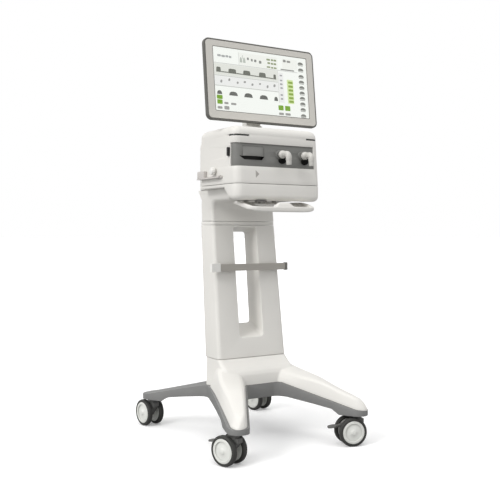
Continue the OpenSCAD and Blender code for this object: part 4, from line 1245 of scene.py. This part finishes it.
# name, colour, depths, outlines
SCREEN_LAYERS = [
    ("tint_header", (244, 245, 240), FIELD,
     chips([(-86, 84, 66, 113), (105, 175, 74, 113)], radius=1)),
    ("tint_wave", (229, 230, 224), FIELD, chips([(-194, 80, 20, 62)], radius=1)),
    ("tint_row", (240, 240, 239), FIELD,
     chips([(-194, 80, -17, 15.5), (84, 106, -60, 56)], radius=1)),
    ("rule_lines", (205, 206, 203), FIELD,
     chips([(-194, 174, 63, 65.4, .8), (-194, 80, 16.2, 19.2, .8), (-194, 80, -21.5, -18.0, .8),
            (-88.6, -87.0, 66, 113, .5), (81.2, 83.2, -62, 62, .6)])),
    ("tile_field", (214, 233, 168), FIELD, chips([(121.5, 150, -61, 32, 3)])),
    ("wave_pressure", (112, 114, 106), INK, domes(PRESSURE_PLATEAUS, 5.0) + PRESSURE_BASE),
    ("wave_flow", (158, 158, 156), INK, chips(FLOW, radius=3.4, lean=0.22)),
    ("wave_volume", (102, 103, 99), INK, domes(VOLUME, 2.4)),
    ("title_strokes", (170, 172, 172), INK,
     chips([(-178, -163, 88, 96), (-161, -146, 87, 95), (-144, -132, 88, 96),
            (-130, -119, 87, 95)], radius=2.5)),
    ("lung_sign", (186, 192, 184), INK,
     domes([(-84, -73, 76, 96), (-70, -59, 76, 96)], 2.0) + [chip(-72.6, -70.4, 90, 104, .8)]),
    ("header_dots", (140, 141, 138), INK,
     chips([(-52, -44, 88, 98), (-35, -27, 85, 95), (-21, -11, 84, 94), (0, 11, 81, 92)],
           radius=3)),
    ("header_rows", (146, 156, 122), INK,
     chips([(34, 50, 97, 104), (54, 64, 97, 104), (66, 78, 97, 104),
            (38, 50, 84, 91), (53, 63, 83, 90), (65, 77, 83, 90),
            (34, 50, 69, 75), (53, 63, 68, 74), (65, 78, 68, 74)])),
    ("readout", (150, 150, 147), INK,
     chips([(109, 122, 99, 109, 2.5), (126, 143, 99, 107, 2.5), (96, 159, 67, 72, 2)])),
    ("side_controls", (128, 129, 124), INK, side_controls()),
    ("side_marks", (168, 168, 170), INK,
     chips([(90, 101, 42, 48), (90, 101, 23, 29), (89, 101, 8, 15), (90, 101, -7, 0),
            (89, 100, -34, -27), (89, 100, -49, -42)])),
    ("level_tiles", (140, 168, 72), INK,
     chips([(127, 148, z, z + 8.4) for z in (17, 2, -13, -28, -43, -57)])),
    ("green_keys", (122, 166, 44), INK,
     chips([(-189, -165, -70, -55), (-188, -166, -88, -72), (76, 99, -90, -71),
            (106, 130, -90, -71)], radius=3)),
    ("key_labels", (158, 157, 154), INK,
     chips([(-159, -142, -87, -79, 2.5), (-131, -109, -88, -80, 2.5), (-188, -168, -106, -97, 3),
            (-160, -139, -107, -94, 3), (77, 99, -108, -99, 3), (106, 130, -108, -99, 3)])),
]


def screen_graphics():
    for name, colour, depths, outlines in SCREEN_LAYERS:
        screen_layer("ui_" + name, outlines, lit("ui_" + name, colour), depths)


def window_line():
    """Dark line on the bezel round the window."""
    def outline(grow, radius):
        return rounded_rect(-199 - grow, 199 + grow, -111.5 - grow, 116.5 + grow, radius)
    outer, inner = outline(2.2, 4.0), outline(0.6, 3.2)
    front, back = -0.25, 0.6
    rings = [[monitor_point(x, z, depth) for x, z in points]
             for points, depth in ((outer, front), (inner, front), (inner, back), (outer, back))]
    place(loft("window_line", rings, RIM, close=True), "screen")


def front_mark():
    """Small triangle on the front of the unit."""
    corners = [(-98.0, 936.0), (-84.0, 949.0), (-98.0, 962.0)]
    rings = [[(x, front_y(z) + depth, z) for x, z in corners] for depth in (-0.35, 0.6)]
    place(loft("front_mark", rings, MARK), "root")


# ------------------------------------------------------------------ lights, floor, camera
AMBIENT_LOW, AMBIENT_HIGH = 0.50, 0.95    # world strength near the horizon and overhead


def build_world():
    """Light that grows towards the zenith; the camera itself sees plain white."""
    world = bpy.data.worlds.new("w")
    scene.world = world
    world.use_nodes = True
    t = Nodes(world.node_tree)
    background = world.node_tree.nodes["Background"]
    direction = t.node("TexCoord", out="Generated")
    upward = t.node("SeparateXYZ", {0: direction}, out="Z")
    ambient = t.remap(upward, AMBIENT_LOW, AMBIENT_HIGH, start=-0.1, end=1.0)
    camera_ray = t.node("LightPath", out="Is Camera Ray")
    strength = t.node("Mix", {0: camera_ray, 2: ambient, 3: 1.0}, data_type="FLOAT")
    background.inputs["Color"].default_value = (1.0, 1.0, 1.0, 1)
    world.node_tree.links.new(strength, background.inputs["Strength"])


def floor_material():
    """White to the camera, greyer to bounced light so that undersides keep their shade."""
    material, t = new_material("studio_floor")
    camera_ray = t.node("LightPath", out="Is Camera Ray")
    colour = t.node("Mix", {0: camera_ray, 6: (0.42, 0.42, 0.42, 1), 7: (0.93, 0.93, 0.93, 1)},
                    out=2, data_type="RGBA")
    noise = t.node("TexNoise", {"Scale": 3.0, "Detail": 3.0})
    diffuse = t.node("BsdfDiffuse", {"Color": colour, "Roughness": t.remap(noise, 0.2, 0.4)})
    glow = t.node("Math", {0: camera_ray, 1: 0.16}, operation="MULTIPLY")
    emission = t.node("Emission", {"Strength": glow})
    t.surface(t.node("AddShader", {0: diffuse, 1: emission}))
    return material


def build_floor():
    half = 200    # metres
    mesh = bpy.data.meshes.new("floor")
    floor = bpy.data.objects.new("floor", mesh)
    scene.collection.objects.link(floor)
    bm = bmesh.new()
    bm.faces.new([bm.verts.new((x, y, 0)) for x, y in
                  ((-half, -half), (half, -half), (half, half), (-half, half))])
    bm.to_mesh(mesh)
    bm.free()
    mesh.materials.append(floor_material())


def sun(name, direction, strength, spread, colour=(1, 1, 1)):
    """Sun shining along direction; spread is its angular size."""
    light = bpy.data.lights.new(name, "SUN")
    light.energy = strength
    light.angle = math.radians(spread)
    light.color = colour
    lamp = bpy.data.objects.new(name, light)
    lamp.rotation_euler = Vector(direction).to_track_quat("-Z", "Y").to_euler()
    scene.collection.objects.link(lamp)


def build_lights():
    sun("key", direction=(0.90, 0.22, -0.62), strength=1.15, spread=22,
        colour=(1.0, 0.995, 0.985))
    sun("top", direction=(0.1, 0.35, -1.0), strength=0.5, spread=50)
    sun("left", direction=(1.0, 0.0, -0.12), strength=0.40, spread=40)


def build_camera():
    """Level camera in front of the stand and to its left; the location is in metres."""
    data = bpy.data.cameras.new("cam")
    camera = bpy.data.objects.new("cam", data)
    scene.collection.objects.link(camera)
    camera.location = (-1.5224, -2.5014, 0.748)
    camera.rotation_euler = (math.radians(90), 0, math.radians(-31.63))
    data.sensor_width = 36
    data.lens = 56.3292
    data.shift_y = -0.0351
    data.clip_start = 0.05
    data.clip_end = 100
    scene.camera = camera
    scene.view_settings.view_transform = "Standard"
    scene.view_settings.exposure = 0.0


# ------------------------------------------------------------------ build
paint_cad_pieces()
column_shell()
column_back_panel()
column_collar()
column_head()
base_frame()
base_cover()
unit_housing()
unit_tray()
unit_tray_rear()
port_band()
for port_name, port_x in PORTS:
    elbow(port_name, port_x)
push_handle()
handle_bosses()
handle_catch()
side_bracket()
side_knob()
wheel_trim()
soften_cad_pieces()
screen_graphics()
window_line()
front_mark()
build_world()
build_floor()
build_lights()
build_camera()
